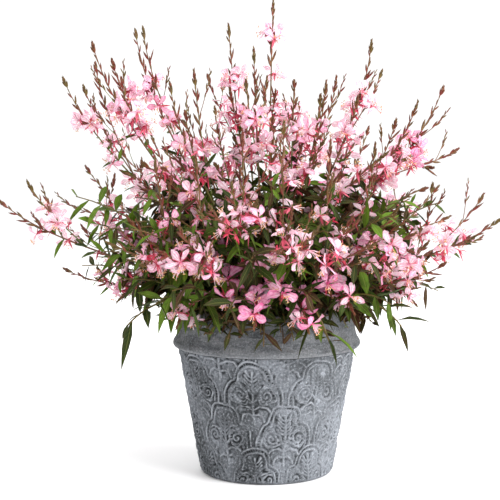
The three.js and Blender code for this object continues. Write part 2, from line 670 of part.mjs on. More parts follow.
// What grows on them: flowers first, then buds, then leaves
for (const { wands, sprayNode } of stems) {
  for (const { axis, from, flowers } of wands) {
    for (const flower of flowers) {
      growClear(sprayNode, TURNS, (turn) => openFlower(rootOn(axis, from, flower, turn)));
    }
  }
}
for (const { wands, sprayNode } of stems) {
  for (const { axis, from, bud } of wands) {
    growClear(sprayNode, TURNS, (turn) => budSpindle(rootOn(axis, from, bud, turn)));
  }
}
for (const { axis, leaves, node } of rimShoots) {
  for (const leaf of leaves) {
    growClear(node, TURNS, (turn) => leafBlade(rootOn(axis, 0, leaf, turn)));
  }
}
for (const { axis, leaves, stem: { leafyNode } } of innerShoots) {
  for (const leaf of leaves) {
    growClear(leafyNode, TURNS, (turn) => leafBlade(rootOn(axis, 0, leaf, turn)));
  }
}
for (const { axis, leaves, leafyNode } of stems) {
  for (const leaf of leaves) {
    growClear(leafyNode, TURNS, (turn) => leafBlade(rootOn(axis, 0, leaf, turn)));
  }
}

const plant = new THREE.Group();
for (const { name, look, body } of NODES) {
  const material = new THREE.MeshStandardMaterial({ ...look, metalness: 0, flatShading: true });
  const mesh = new THREE.Mesh(geometryOf(mainBody(body)), material);
  mesh.name = name;
  plant.add(mesh);
}

export default plant;
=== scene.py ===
# A gaura in flower in a round grey pot with a raised pattern. Lengths are millimetres until a mesh is made.
import math

import bpy
import numpy as np
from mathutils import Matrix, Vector


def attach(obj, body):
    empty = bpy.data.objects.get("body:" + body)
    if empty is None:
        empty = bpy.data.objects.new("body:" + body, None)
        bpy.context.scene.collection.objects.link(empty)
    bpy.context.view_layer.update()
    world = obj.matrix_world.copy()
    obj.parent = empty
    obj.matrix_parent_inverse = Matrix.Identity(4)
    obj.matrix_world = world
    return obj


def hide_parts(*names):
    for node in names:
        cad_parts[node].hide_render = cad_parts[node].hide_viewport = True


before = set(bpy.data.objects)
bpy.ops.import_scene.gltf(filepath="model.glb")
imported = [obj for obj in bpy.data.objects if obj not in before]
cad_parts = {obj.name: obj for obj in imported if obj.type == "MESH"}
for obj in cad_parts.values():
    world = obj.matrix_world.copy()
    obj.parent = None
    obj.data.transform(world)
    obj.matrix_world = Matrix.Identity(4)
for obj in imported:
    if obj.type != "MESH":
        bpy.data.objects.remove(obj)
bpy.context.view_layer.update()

UP = np.array([0.0, 0.0, 1.0])
GOLDEN_ANGLE = 137.5

# Pot and soil
POT_HEIGHT = 178
BASE_RADIUS = 71
BODY_TOP_RADIUS = 95
LIP_RADIUS = 100.5
BAND_TOP_RADIUS = 94
BAND_HEIGHT = 43
BODY_HEIGHT = POT_HEIGHT - BAND_HEIGHT
WALL = 7
FLOOR = 12
POT_COLUMNS = 588
BODY_ROWS = 136
SOIL_EDGE_HEIGHT = 158
SOIL_MOUND = 8
SOIL_RADIUS = 86.2
SOIL_FOOT_RADIUS = 68
SOIL_COLUMNS, SOIL_RINGS = 96, 28
SOIL_ROUGHNESS = 2.2
CRUMBS = 260
SEAT_GAP = 0.3
AXIS_RADIUS = 0.01  # where a turned outline meets the axis

# The pot's outline: its base, then the lip and band from the lip's radius and the body's top, then the
# rim from the band's top
BASE_OUTLINE = [(AXIS_RADIUS, 0), (40, 0), (BASE_RADIUS - 3, 0), (BASE_RADIUS - 1.3, 0.6),
                (BASE_RADIUS - 0.3, 1.8)]
BAND_OUTLINE = [(-6.1, -0.1), (-3.4, 0.4), (-1.5, 1.2), (-0.4, 2.6), (0, 4.4), (-0.35, 6.4), (-1.4, 8.4),
                (-2.9, 10.6), (-4.2, 14), (-5.1, 18), (-5.7, 22), (-6.1, 28), (-6.4, 34)]
RIM_OUTLINE = [(0, -3), (-0.6, -1), (-2, 0), (-5, 0), (-6.5, -0.8), (-WALL, -2.4)]
# Painted shade under the lip (below 0) and a painted highlight along the lip's worn lower edge (above 0)
LIP_WEAR_AND_SHADING = {0: -0.5, 2: 1.0, 3: 0.45}  # at points of the band's outline

# The outline that leaves keep clear of, from the pot's foot up, and how far they stay off the rim
CLEAR_HEIGHTS = [0, BODY_HEIGHT, BODY_HEIGHT + 0.8, BODY_HEIGHT + 4.5, BODY_HEIGHT + 10, BODY_HEIGHT + 22,
                 POT_HEIGHT]
CLEAR_RADII = [BASE_RADIUS + 1.5, BODY_TOP_RADIUS + 1.5, LIP_RADIUS - 2, LIP_RADIUS + 0.6, LIP_RADIUS - 1.8,
               LIP_RADIUS - 4.8, BAND_TOP_RADIUS + 0.8]
RIM_CLEARANCE = 0.8

# The raised pattern: arches in staggered rows. x is a share of half the repeat's width, y is millimetres
# below the arch's top.
REPEATS = 8
ARCH_TOPS = [178, 132, 86, 40, -6]  # heights of the rows' tops
FIRST_ROW_TURN = 12.5  # degrees; every second row stands half a repeat further on
RELIEF_HEIGHT = 1.9
ARCH = [(0, 0), (0.14, 0.4), (0.27, 1.7), (0.38, 4.2), (0.47, 8), (0.52, 12.5), (0.54, 17), (0.57, 19.2),
        (0.66, 20.4), (0.76, 23.6), (0.84, 28.6), (0.885, 35), (0.9, 43), (0.9, 70)]
STALK = [(0, 11), (0, 66)]
BARBS = [[(0, y), (0.1, y - 1.8), (0.2, y - 6.5)] for y in (17, 21, 25, 29, 33)]
BRANCHES = [
    [(0, 42), (0.14, 37), (0.26, 36)],
    [(0, 50), (0.2, 46), (0.42, 48), (0.6, 55), (0.66, 62)],
    [(0, 57), (0.16, 55), (0.3, 58), (0.36, 63)],
    [(0.42, 23.5), (0.56, 25.5), (0.68, 31), (0.72, 38)],
]
ROUNDEL = (0.43, 35.5, 9.2)  # the centre's x and y, and the radius in millimetres
EDGE_LINE, DASHED_LINE, INNER_LINE = 0.2, 2.5, 4.9  # how deep inside the arch's edge each one runs
FIELD_DEPTH = 6  # from the edge to the field that the stalk and the roundels stand in
DASH_LENGTH = 3.3
SPIRAL_PITCH = 4.6
LINE_HALF_WIDTH = 1.05
BRANCH_HALF_WIDTH = 1.1
STALK_HALF_WIDTH = 1.25
OVERLAP = 1.2  # how far outside its edge an arch hides the rows above

# Stems, as in the CAD model
CROWN_SPREAD = 0.2
ROOTING_DEPTH = 14
STEM_CLEAR_OF_SOIL = 2
LEAFY_SHARE = 0.46
START_LIFT, END_LIFT = 24, 14
STEEPEST_START, STEEPEST_END = 88, 86
HANDLE_SHARE = 0.33
SIDE_WAND_STARTS = [0.53, 0.62, 0.5]
SIDE_WAND_BEND = 0.8
TURNS = [0, 30, -30, 60, -60, 90, -90, 120, -120, 150, -150, 180]
STEPS = [0, 0.01, -0.01, 0.02, -0.02, 0.03, -0.03, 0.04, -0.04, 0.05, -0.05, 0.06, 0.07, 0.08]
LEAVES_PER_STEM = 5
STEM_LEAF_SPAN = (0.1, LEAFY_SHARE - 0.03)  # the lowest and the highest leaf's shares of the length
RIM_SHOOT_LEAVES = 7
RIM_LEAF_SPAN = (0.25, 0.95)
INNER_SHOOT_START = 0.2
INNER_SHOOT_LEAVES = 4
INNER_LEAF_SPAN = (0.4, 0.92)
LEAF_LENGTH = 42
LEAF_HALF_WIDTH = 4.8
BUD_LENGTH = 12
PETAL_LENGTH = 14.5
PETAL_CORNER = (-17, 0.96)  # angle from the petal's middle, share of its length
TUBE_LENGTH = 9
TUBE_MOUTH_DEPTH = 1.2
PETAL_ANGLES = np.array([-106.0, -36.0, 36.0, 106.0])
SEPAL_ANGLES = np.array([-75, 5, 80, 180])
LOWEST_FLOWER, FLOWER_SPACING, BUD_SHARE = 0.3, 0.2, 0.72
SECOND_FLOWER_CHANCE = 0.4

# The CAD model's seeds, each the first stem's and the step to the next one's, and its random draws
STEM_SEEDS = (7919, 104729)
RIM_SHOOT_SEEDS = (15485863, 7919)
INNER_SHOOT_SEEDS = (1299709, 7919)
LEAF_DRAWS = {"rise": 0.5, "turn": (0, 50), "size": (0.85, 1.15), "droop": (0.15, 0.45), "lean": (0.35, 0.65)}
RIM_LEAF_DRAWS = {"rise": 0, "turn": (-35, 35), "size": (0.75, 1), "droop": (0.2, 0.45), "lean": (0.5, 0.9)}
FLOWER_DRAWS = {"rise": 0.12, "turn": (0, 60), "size": (0.92, 1.08), "lean": (0.15, 0.5)}
BUD_DRAWS = {"rise": 0.05, "size": (1.15, 1.3), "lean": (1.3, 1.8)}
STEMS = [
    [[-282, -20, 292], [-247, -50, 313], [-236, 10, 293], [-165, 30, 318]],
    [[-220, 30, 422], [-202, 60, 415], [-181, -5, 436]],
    [[-179, -45, 454], [-156, -75, 435], [-152, -20, 420]],
    [[-141, 25, 473], [-130, -10, 473], [-121, 55, 402]],
    [[-99, -60, 413], [-76, -30, 428], [-82, -100, 383]],
    [[-41, 35, 480], [-65, 70, 427], [-39, 10, 412]],
    [[-14, -50, 449], [-22, -85, 414], [0, -20, 421]],
    [[7, 10, 503], [9, -20, 407], [34, 50, 401]],
    [[61, -35, 416], [74, 4, 423], [53, -75, 400]],
    [[113, 25, 462], [128, 60, 432], [96, -5, 401]],
    [[154, -50, 395], [128, -85, 375], [146, -20, 344]],
    [[190, 20, 412], [213, 55, 346], [176, -10, 326]],
    [[252, -15, 276], [235, 20, 297], [216, -50, 257], [170, -50, 310]],
    [[181, -70, 230], [160, -100, 255], [158, -50, 203]],
    [[-226, 62, 212], [-209, 85, 259]],
    [[-35, -190, 316], [-55, -215, 296], [-11, -180, 299], [-25, -135, 365]],
    [[-84, -185, 275], [-106, -170, 252], [-64, -215, 243], [-70, -135, 340]],
    [[21, -200, 295], [45, -215, 277], [7, -235, 256], [15, -130, 372]],
    [[79, -170, 284], [104, -165, 260], [61, -210, 243], [60, -130, 355]],
    [[-138, -130, 282], [-159, -120, 256], [-122, -160, 236], [-110, -125, 338]],
    [[128, -120, 291], [145, -115, 264], [117, -155, 236], [105, -110, 352]],
    [[-138, 190, 365], [-172, 175, 342], [-116, 220, 323], [-100, 100, 352]],
    [[-61, 210, 396], [-91, 225, 353], [-33, 230, 341], [-55, 120, 372]],
    [[42, 205, 401], [12, 235, 347], [73, 220, 353], [5, 115, 385]],
    [[125, 185, 371], [103, 215, 323], [154, 175, 330], [85, 105, 360]],
    [[-209, 130, 325], [-223, 120, 279], [-140, 85, 335]],
    [[202, 130, 302], [213, 110, 268], [140, 90, 335]],
]
RIM_SHOOTS = [
    [[-48, -30, 0], [-98, -62, 200], [-142, -92, 168]],
    [[14, -52, 0], [33, -100, 212], [60, -120, 158]],
    [[50, -26, 0], [98, -56, 200], [136, -78, 166]],
    [[-6, 52, 0], [-12, 104, 202], [-20, 140, 166]],
]
INNER_SHOOTS = [  # the stem that each grows on, counted from 0, and its tip
    [2, [-95, -20, 310]],
    [9, [92, 62, 305]],
    [11, [150, 40, 285]],
    [21, [-80, 165, 262]],
    [24, [110, 150, 262]],
]

# What the scene adds
SEEDS = {"stem": 500, "rim shoot": 700, "mound": 31, "added sprays": 47, "band": 6, "soil": 8}
STEM_LEAVES_ADDED = 15
WIDE_STEM_REACH = 170  # a stem whose tip is farther from the axis is leafy farther up
SOIL_LEVEL = 165  # about where the added shoots leave the soil
SHOOT_GROUPS = 12  # pieces that the leafy shoots round the clump are shared among
LEAFY_SHOOTS = 216
LEAVES_PER_SHOOT = 12
SHOOT_LEANS = (-0.1, 1.0)
MOUND_REACH = (12, 180)  # from the axis to the innermost and the outermost shoot's tip
MOUND_FEET = (12, 64)
MOUND_DOME = (200, 116, 200, 4)  # as dome_height takes it
LOWEST_TIP = 194
MOUND_TONES = ([0.1, 0.3, 0.5, 0.85], [0.28, 0.3, 0.28, 0.14])  # from maroon to fresh green, and how many
# Rings of leafy shoots. arc: first angle and span in degrees; rise: as shoot_curve takes it; even: the
# shoots go to their groups by their places before the scatter.
FLANK_RING = dict(count=30, arc=(0, 360), scatter=4.8, distances=(150, 198), heights=(205, 300), foot=46,
                  rise=(12, 0, 0.4, 18), leaves=11, first_leaf=0.45, sizes=(0.75, 0.7, 0.4),
                  tones=(0.3, 0.6, 0.9), wide=1.3)
LOW_RINGS = [
    dict(count=56, arc=(0, 360), scatter=5, distances=(100, 122), heights=(160, 190), foot=58,
         rise=(8, 19, 0, 12), leaves=10, first_leaf=0.35, sizes=(0.48, 0.56, 0.42),
         tones=(0.1, 0.25, 0.4, 0.6), wide=1.5, leans=(-0.5, 0.5), even=True),
    dict(count=18, arc=(0, 360), scatter=6, distances=(132, 158), heights=(186, 208), foot=56,
         rise=(10, 26, 0, 20), leaves=11, first_leaf=0.45, sizes=(0.8, 0.85, 0.6),
         tones=(0.25, 0.45, 0.6), wide=1.35, leans=(-0.3, 0.8)),
    dict(count=7, arc=(-122, 64), scatter=3.2, distances=(108, 116), heights=(150, 166), foot=58,
         rise=(8, 19, 0, 14), leaves=9, first_leaf=0.5, sizes=(0.5, 0.55, 0.4),
         tones=(0.1, 0.3, 0.6), wide=1.3, leans=(-0.2, 0.7)),
]
BRIGHT_SHOOTS = [[-200, -26, 296], [-172, -44, 240], [-186, -20, 268]]
BRIGHT_GROUP = 6
BRIGHT_FOOT = (-44, -8)
STRONG_PINK_STEM = 11
STRONG_PINK_SPRAY = 6
STRONG_PINK = 1.1
STEM_PINKS = (0.0, 0.65)
HIGH_BLOOMS = {1: 0.8, 2: 0.7, 3: 0.82, 5: 0.82, 7: 0.88, 9: 0.78, 11: 0.76}  # stem: share along it
INNER_SPRAYS = 22
SPRAY_REACH = 184
SPRAY_DOME = (215, 215, 205, 2)
LOWEST_INNER_TIP = 235
BACK_SPRAYS = 16
BACK_ARC = (-12, 204)  # first angle and span in degrees
BACK_REACH = (130, 172)
BACK_HEIGHTS = [(168, 180), (196, 250)]
# Of the low and the inner sprays. stretch: the leafy share of the stem; facing: how far blooms turn outward;
# blooms: between which shares each is.
LOW_SPRAY = {"rise": (14, 62, 0, 26), "stretch": 0.45, "facing": 1.3, "pinks": (0.35, 0.95),
             "blooms": ([0.62, 0.75, 0.86], [0.68, 0.8, 0.92])}
INNER_SPRAY = {"rise": (10, 0, 0.5, 12), "stretch": 0.5, "facing": 0.5, "pinks": (0.1, 0.7),
               "blooms": ([0.55, 0.68], [0.65, 0.8])}
# Radii of wands where each starts, near its tip and at its tip
MAIN_WAND_RADII = [1.1, 0.62, 0.35]
SIDE_WAND_RADII = [0.8, 0.52, 0.32]
ADDED_WAND_RADII = [1.0, 0.6, 0.35]
CONE_BUDS = 11  # at the tip of each wand
TWIG_BUDS = 8
FRONT_SPRAYS = [  # tips of the short sprays that hang over the rim in the photograph
    [-92, -98, 166],
    [-14, -134, 170],
    [40, -130, 166],
    [-42, -128, 198],
    [62, -118, 202],
    [-150, -50, 206],
    [120, -72, 212],
    [100, -90, 242],
    [-122, -74, 236],
    [-8, -126, 232],
    [12, -130, 196],
    [86, -112, 182],
    [-66, -116, 222],
    [152, -40, 238],
    [-176, -14, 250],
]

# Outlines: share of the length, share of the half width
LEAF_SHAPE = [(0, 0.14), (0.14, 0.4), (0.38, 1), (0.64, 0.88), (0.86, 0.42), (1, 0.03)]
SMALL_LEAF_SHAPE = [(0, 0.14), (0.3, 0.86), (0.6, 0.92), (0.85, 0.42), (1, 0.03)]
PETAL_SHAPE = [(0, 0.14), (0.14, 0.17), (0.3, 0.45), (0.47, 0.83), (0.68, 1), (0.88, 0.72), (1, 0.14)]
SEPAL_SHAPE = [(0, 0.5), (0.25, 1), (0.65, 0.8), (1, 0.1)]
BUD_SHAPE = [(0, 0.3), (0.35, 0.92), (0.7, 0.88), (1, 0.08)]
TUBE_SHAPE = [(0, 0.62), (0.3, 0.78), (0.6, 0.6), (0.85, 0.75), (1, 1.15)]
THREAD_SHAPE = [(0, 1), (0.5, 0.9), (1, 0.8)]
ANTHER_SHAPE = [(0, 0.4), (0.5, 1), (1, 0.4)]
STAMENS = 8
CRUMB_SHAPE = [(0, 0.3), (0.3, 0.95), (0.7, 1), (1, 0.35)]

# The stage, in metres
FLOOR_REACH = 30.0
FLOOR_DROP = 0.0004  # below the pot's underside
SURROUND_LIGHT = 1.1
LIGHTS_AIM = (0, 0, 0.25)
CAMERA_LENS = 94.5  # millimetres
CAMERA_PLACE = (-0.0178, -1.4, 0.352)
CAMERA_AIM = (-0.0178, 0, 0.2376)
FARTHEST_SEEN = 100

# Points round a blade's section: place across it, and upper or lower side
BLADE_SECTION = np.array([[1, 0.5, 0, -0.5, -1, 0], [0, 1, 1, 1, 0, -1]])
NARROW_SECTION = np.array([[1, 0, -1, 0], [0, 1, 0, -1]])


def unit(vectors):
    vectors = np.asarray(vectors, float)
    return vectors / np.maximum(np.linalg.norm(vectors, axis=-1, keepdims=True), 1e-9)


def lerp(low, high, share):
    return low + (high - low) * share


def clear_of_pot(points):
    """Leaves drape over the rim and hang outside the wall instead of crossing it."""
    radius = np.hypot(points[:, 0], points[:, 1])
    height = points[:, 2]
    wall = np.interp(height, CLEAR_HEIGHTS, CLEAR_RADII)
    top, edge = POT_HEIGHT + RIM_CLEARANCE, BAND_TOP_RADIUS + RIM_CLEARANCE
    over_rim = (radius > BAND_TOP_RADIUS - WALL - 1) & (radius < edge)
    over_rim &= (height < top) & (height > BODY_HEIGHT)
    points[over_rim, 2] = top - 0.04 * (top - height[over_rim])
    outside = (radius >= edge) & (radius < wall) & (height < POT_HEIGHT)
    points[outside, :2] *= (wall[outside] / radius[outside])[:, None]
    return points


class Piece:
    """One mesh in the making, from rings of points lofted into closed skins."""

    def __init__(self):
        self.points, self.places, self.faces, self.materials = [], [], [], []
        self.count = 0

    def add(self, points, places, faces, material):
        self.points.append(points.reshape(-1, 3))
        self.places.append(places.reshape(-1, 3))
        for some in faces:
            self.faces.append(some + self.count)
            self.materials.append(np.full(len(some), material))
        self.count += points.size // 3

    def loft(self, rings, places, material):
        """rings is (items, rows, sides, 3); each item becomes a closed skin."""
        items, rows, sides, _ = rings.shape
        at = np.arange(items * rows * sides).reshape(items, rows, sides)
        low, high = at[:, :-1], at[:, 1:]
        walls = np.stack([low, np.roll(low, -1, 2), np.roll(high, -1, 2), high], -1).reshape(-1, 4)
        self.add(rings, places, [walls, at[:, 0, ::-1], at[:, -1]], material)

    def build(self, name, materials, slot, replaced=(), sharp=80):
        mesh = bpy.data.meshes.new(name)
        points = np.concatenate(self.points)
        if slot in ("foliage", "flowers"):
            points = clear_of_pot(points)
        points *= 0.001
        lengths = np.concatenate([np.full(len(some), some.shape[1]) for some in self.faces])
        corners = np.concatenate([some.ravel() for some in self.faces])
        mesh.vertices.add(len(points))
        mesh.vertices.foreach_set("co", points.ravel())
        mesh.loops.add(len(corners))
        mesh.polygons.add(len(lengths))
        mesh.polygons.foreach_set("loop_start", np.cumsum(lengths) - lengths)
        mesh.polygons.foreach_set("vertices", corners)
        mesh.update(calc_edges=True)
        mesh.polygons.foreach_set("material_index", np.concatenate(self.materials))
        mesh.polygons.foreach_set("use_smooth", np.ones(len(lengths), bool))
        mesh.set_sharp_from_angle(angle=math.radians(sharp))
        place = mesh.attributes.new("place", "FLOAT_VECTOR", "POINT")
        place.data.foreach_set("vector", np.concatenate(self.places).ravel())
        for material in materials:
            mesh.materials.append(material)
        piece = bpy.data.objects.new(name, mesh)
        bpy.context.scene.collection.objects.link(piece)
        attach(piece, "root")
        if replaced:
            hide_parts(*replaced)
        return piece


def column(values, items):
    """One value for each item, from a single one or from as many."""
    return np.broadcast_to(np.asarray(values, float), (items,))


def bent_line(shape, origin, along, bend, length):
    """The points and directions of each item's middle line, at the shape's shares of its length."""
    share, spread = np.array(shape, float).T
    t = share[None, :, None]
    return origin + length[..., None] * (along * t + bend * t * t), unit(along + 2 * bend * t), share, spread


def places_of(rings, share, second, tone):
    """What a material reads at each point: its share of the length, a second value and the item's tone."""
    places = np.empty(rings.shape)
    places[..., 0], places[..., 1], places[..., 2] = share[None, :, None], second, tone[..., None]
    return places


def blades(piece, material, shape, origin, along, across, length, width, bend, fold=0.0, cup=0.0, twist=0.0,
           tone=0.0, half_thickness=0.16, ruffle=0.0, section=None):
    """Thin closed leaf-like shapes that set off from origin and bend; tone goes to the material."""
    origin, along, across, bend = [np.atleast_2d(x)[:, None] for x in (origin, along, across, bend)]
    items = max(len(origin), len(along))
    single = (length, width, fold, cup, twist, tone)
    length, width, fold, cup, twist, tone = [column(x, items)[:, None] for x in single]
    centre, tangent, share, spread = bent_line(shape, origin, along, bend, length)
    side = unit(across - (across * tangent).sum(-1, keepdims=True) * tangent)
    normal = np.cross(tangent, side)
    turn = (twist * share)[..., None]
    side, normal = side * np.cos(turn) + normal * np.sin(turn), normal * np.cos(turn) - side * np.sin(turn)
    u, layer = BLADE_SECTION if section is None else section
    w = (width * spread)[..., None]
    lift = w * (fold[..., None] * np.abs(u) + cup[..., None] * u * u)
    lift = lift + layer * half_thickness * np.minimum(1, 0.3 + spread)[None, :, None]
    # Ripples along the edges, other ones on each side and on each blade
    wave = ruffle * w * np.abs(u) * np.sin(9 * share[None, :, None] + 2.2 * u + 6 * tone[..., None])
    rings = centre[:, :, None] + side[:, :, None] * (w * u)[..., None]
    rings = rings + normal[:, :, None] * (lift + wave)[..., None]
    piece.loft(rings, places_of(rings, share, u, tone), material)


def rods(piece, material, shape, origin, along, length, radius, bend=(0, 0, 0), sides=6, tone=0.0, kind=0.0):
    """Round closed shapes whose radius follows the outline: buds, tubes, threads and crumbs."""
    origin, along, bend = [np.atleast_2d(x)[:, None] for x in (origin, along, bend)]
    items = max(len(origin), len(along))
    length, radius, tone = [column(x, items)[:, None] for x in (length, radius, tone)]
    centre, tangent, share, spread = bent_line(shape, origin, along, bend, length)
    level = np.cross(UP, tangent)
    level = unit(np.where(np.linalg.norm(level, axis=-1, keepdims=True) < 1e-3, [1.0, 0, 0], level))
    other = np.cross(tangent, level)
    angle = 2 * math.pi * np.arange(sides) / sides
    spoke = level[:, :, None] * np.cos(angle)[:, None] + other[:, :, None] * np.sin(angle)[:, None]
    rings = centre[:, :, None] + spoke * (radius * spread)[..., None, None]
    piece.loft(rings, places_of(rings, share, kind, tone), material)


def tube(piece, material, path, radii, sides=6, tone=0.0):
    """A round closed tube along a path."""
    tangents = unit(np.gradient(path, axis=0))
    level = unit(np.cross(tangents[0], [0.3, 0.9, 0.1]))
    rings = []
    for point, tangent, radius in zip(path, tangents, radii):
        level = unit(level - tangent * (level @ tangent))
        other = np.cross(tangent, level)
        angle = 2 * math.pi * np.arange(sides)[:, None] / sides
        rings.append(point + radius * (np.cos(angle) * level + np.sin(angle) * other))
    places = np.zeros((1, len(path), sides, 3))
    places[..., 0] = np.linspace(0, 1, len(path))[None, :, None]
    places[..., 2] = tone
    piece.loft(np.array(rings)[None], places, material)


class Curve:
    """A cubic Bezier curve."""

    def __init__(self, *points):
        self.points = np.array(points, float)

    def at(self, t):
        t = np.asarray(t, float)[..., None]
        a, b, c, d = self.points
        return a * (1 - t) ** 3 + 3 * b * t * (1 - t) ** 2 + 3 * c * t * t * (1 - t) + d * t ** 3

    def along(self, t):
        t = np.asarray(t, float)[..., None]
        a, b, c, d = self.points
        return unit((b - a) * (1 - t) ** 2 + 2 * (c - b) * t * (1 - t) + (d - c) * t * t)

    def length(self):
        return np.linalg.norm(np.diff(self.at(np.linspace(0, 1, 30)), axis=0), axis=1).sum()


def random_stream(seed):
    """The CAD model's stream of random numbers."""
    state = seed
    while True:
        state = state * 16807 % 2147483647
        yield state / 2147483647


def soil_height(radius):
    return SOIL_EDGE_HEIGHT + SOIL_MOUND * (1 - (radius / (BODY_TOP_RADIUS - WALL)) ** 2)


def rooting(x, y):
    surface = soil_height(math.hypot(x, y))
    return np.array([x, y, surface - ROOTING_DEPTH]), np.array([x, y, surface + STEM_CLEAR_OF_SOIL])


def raised(outward, degrees):
    return outward * math.cos(math.radians(degrees)) + UP * math.sin(math.radians(degrees))


def slope_of(reach):
    return unit(reach * [1, 1, 0]), math.degrees(math.asin(reach[2] / np.linalg.norm(reach)))


def arched_curve(foot, tip):
    reach = tip - foot
    outward, slope = slope_of(reach)
    arm = HANDLE_SHARE * np.linalg.norm(reach)
    start = raised(outward, min(slope + START_LIFT, STEEPEST_START))
    end = raised(outward, min(slope + END_LIFT, STEEPEST_END))
    return Curve(foot, foot + start * arm, tip - end * arm, tip)


def side_curve(main, share, tip):
    start = main.at(share)
    reach = tip - start
    outward, slope = slope_of(reach)
    arm = HANDLE_SHARE * np.linalg.norm(reach)
    set_off = unit(lerp(main.along(share), unit(reach), SIDE_WAND_BEND))
    end = raised(outward, min(slope + END_LIFT, STEEPEST_END))
    return Curve(start, start + set_off * arm, tip - end * arm, tip)


def leaving(tangent, degrees, lean):
    """The direction that leaves a stem at an angle round it, leaning towards its tip."""
    level = unit(np.cross(UP, tangent))
    other = np.cross(tangent, level)
    angle = math.radians(degrees)
    return unit(level * math.cos(angle) + other * math.sin(angle) + tangent * lean)


def corners_of(node):
    """The corners of a CAD node, in millimetres."""
    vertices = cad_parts[node].data.vertices
    co = np.empty(len(vertices) * 3, np.float32)
    vertices.foreach_get("co", co)
    return co.reshape(-1, 3).astype(float) * 1000


def misfit(corners, points):
    """How far points lie from the nearest corners of a CAD node, summed."""
    return np.linalg.norm(corners[None] - np.atleast_2d(points)[:, None], axis=-1).min(1).sum()


def fitted(corners, curve, share, angle, lean, reach):
    """The angle round a stem that the CAD model turned a shape to, and its way; reach gives its corners."""
    root, tangent = curve.at(share), curve.along(share)
    ways = [leaving(tangent, angle + turn, lean) for turn in TURNS]
    best = int(np.argmin([misfit(corners, root + reach(way)) for way in ways]))
    return angle + TURNS[best], ways[best]


def flower_axes(direction):
    top = unit(UP - direction * direction[2])
    return top, np.cross(top, direction)


def spokes(top, side, degrees):
    """Directions out from a flower's middle, at angles from its top, and the directions across them."""
    angles = np.radians(degrees)[:, None]
    return top * np.cos(angles) - side * np.sin(angles), -top * np.sin(angles) - side * np.cos(angles)


def staggered(low, high, many, rng):
    """Shares of a length, one at a random place in each of as many equal stretches."""
    return lerp(low, high, (np.arange(many) + rng.rand(many)) / many)


# Materials' places in a plant piece
LEAF, STEM, PETAL, CALYX, THREAD, BUD = range(6)


def rooted_stem(piece, foot, curve, reach, points, radii, tone, sides=6):
    """A stem from its foot in the soil along part of its curve."""
    path = np.vstack([foot, curve.at(np.linspace(0, reach, points))])
    tube(piece, STEM, path, np.linspace(*radii, len(path)), sides, tone)


def grow_leaves(piece, roots, directions, lengths, droops, rng, tone, wide=1.0, roll=0.5, section=None):
    """Drooping lance-shaped leaves with a folded midrib."""
    roots, directions = np.atleast_2d(roots), np.atleast_2d(directions)
    items = len(roots)
    lengths, droops = column(lengths, items), column(droops, items)
    normal = unit(UP - directions * directions[:, 2:])
    across = np.cross(normal, directions)
    tilt = rng.uniform(-roll, roll, (items, 1))
    across = unit(across * np.cos(tilt) + normal * np.sin(tilt))
    sway = across * rng.uniform(-0.12, 0.12, (items, 1))
    shape = LEAF_SHAPE if section is None else SMALL_LEAF_SHAPE
    widths = LEAF_HALF_WIDTH * wide * lengths / LEAF_LENGTH * rng.uniform(0.85, 1.15, items)
    blades(piece, LEAF, shape, roots, directions, across, lengths, widths, sway - UP * droops[:, None],
           fold=rng.uniform(0.15, 0.45, items), twist=rng.uniform(-0.5, 0.5, items),
           tone=np.clip(tone + rng.normal(0, 0.14, items), 0, 1), ruffle=0.08, section=section)


def grow_leaf_row(piece, curve, shares, sizes, ranges, rng, tone, turn=0, step=GOLDEN_ANGLE, swing=0,
                  **looks):
    """Leaves along a stem. ranges: the factor on their sizes, how they lean along it, and how they droop."""
    many = len(shares)
    factors, leans, droops = ranges
    ways = []
    for k, share in enumerate(shares):
        angle = k * step + turn + (rng.uniform(-swing, swing) if swing else 0)
        ways.append(leaving(curve.along(share), angle, rng.uniform(*leans)))
    lengths = LEAF_LENGTH * sizes * rng.uniform(*factors, many)
    grow_leaves(piece, curve.at(shares), ways, lengths, rng.uniform(*droops, many), rng, tone, **looks)


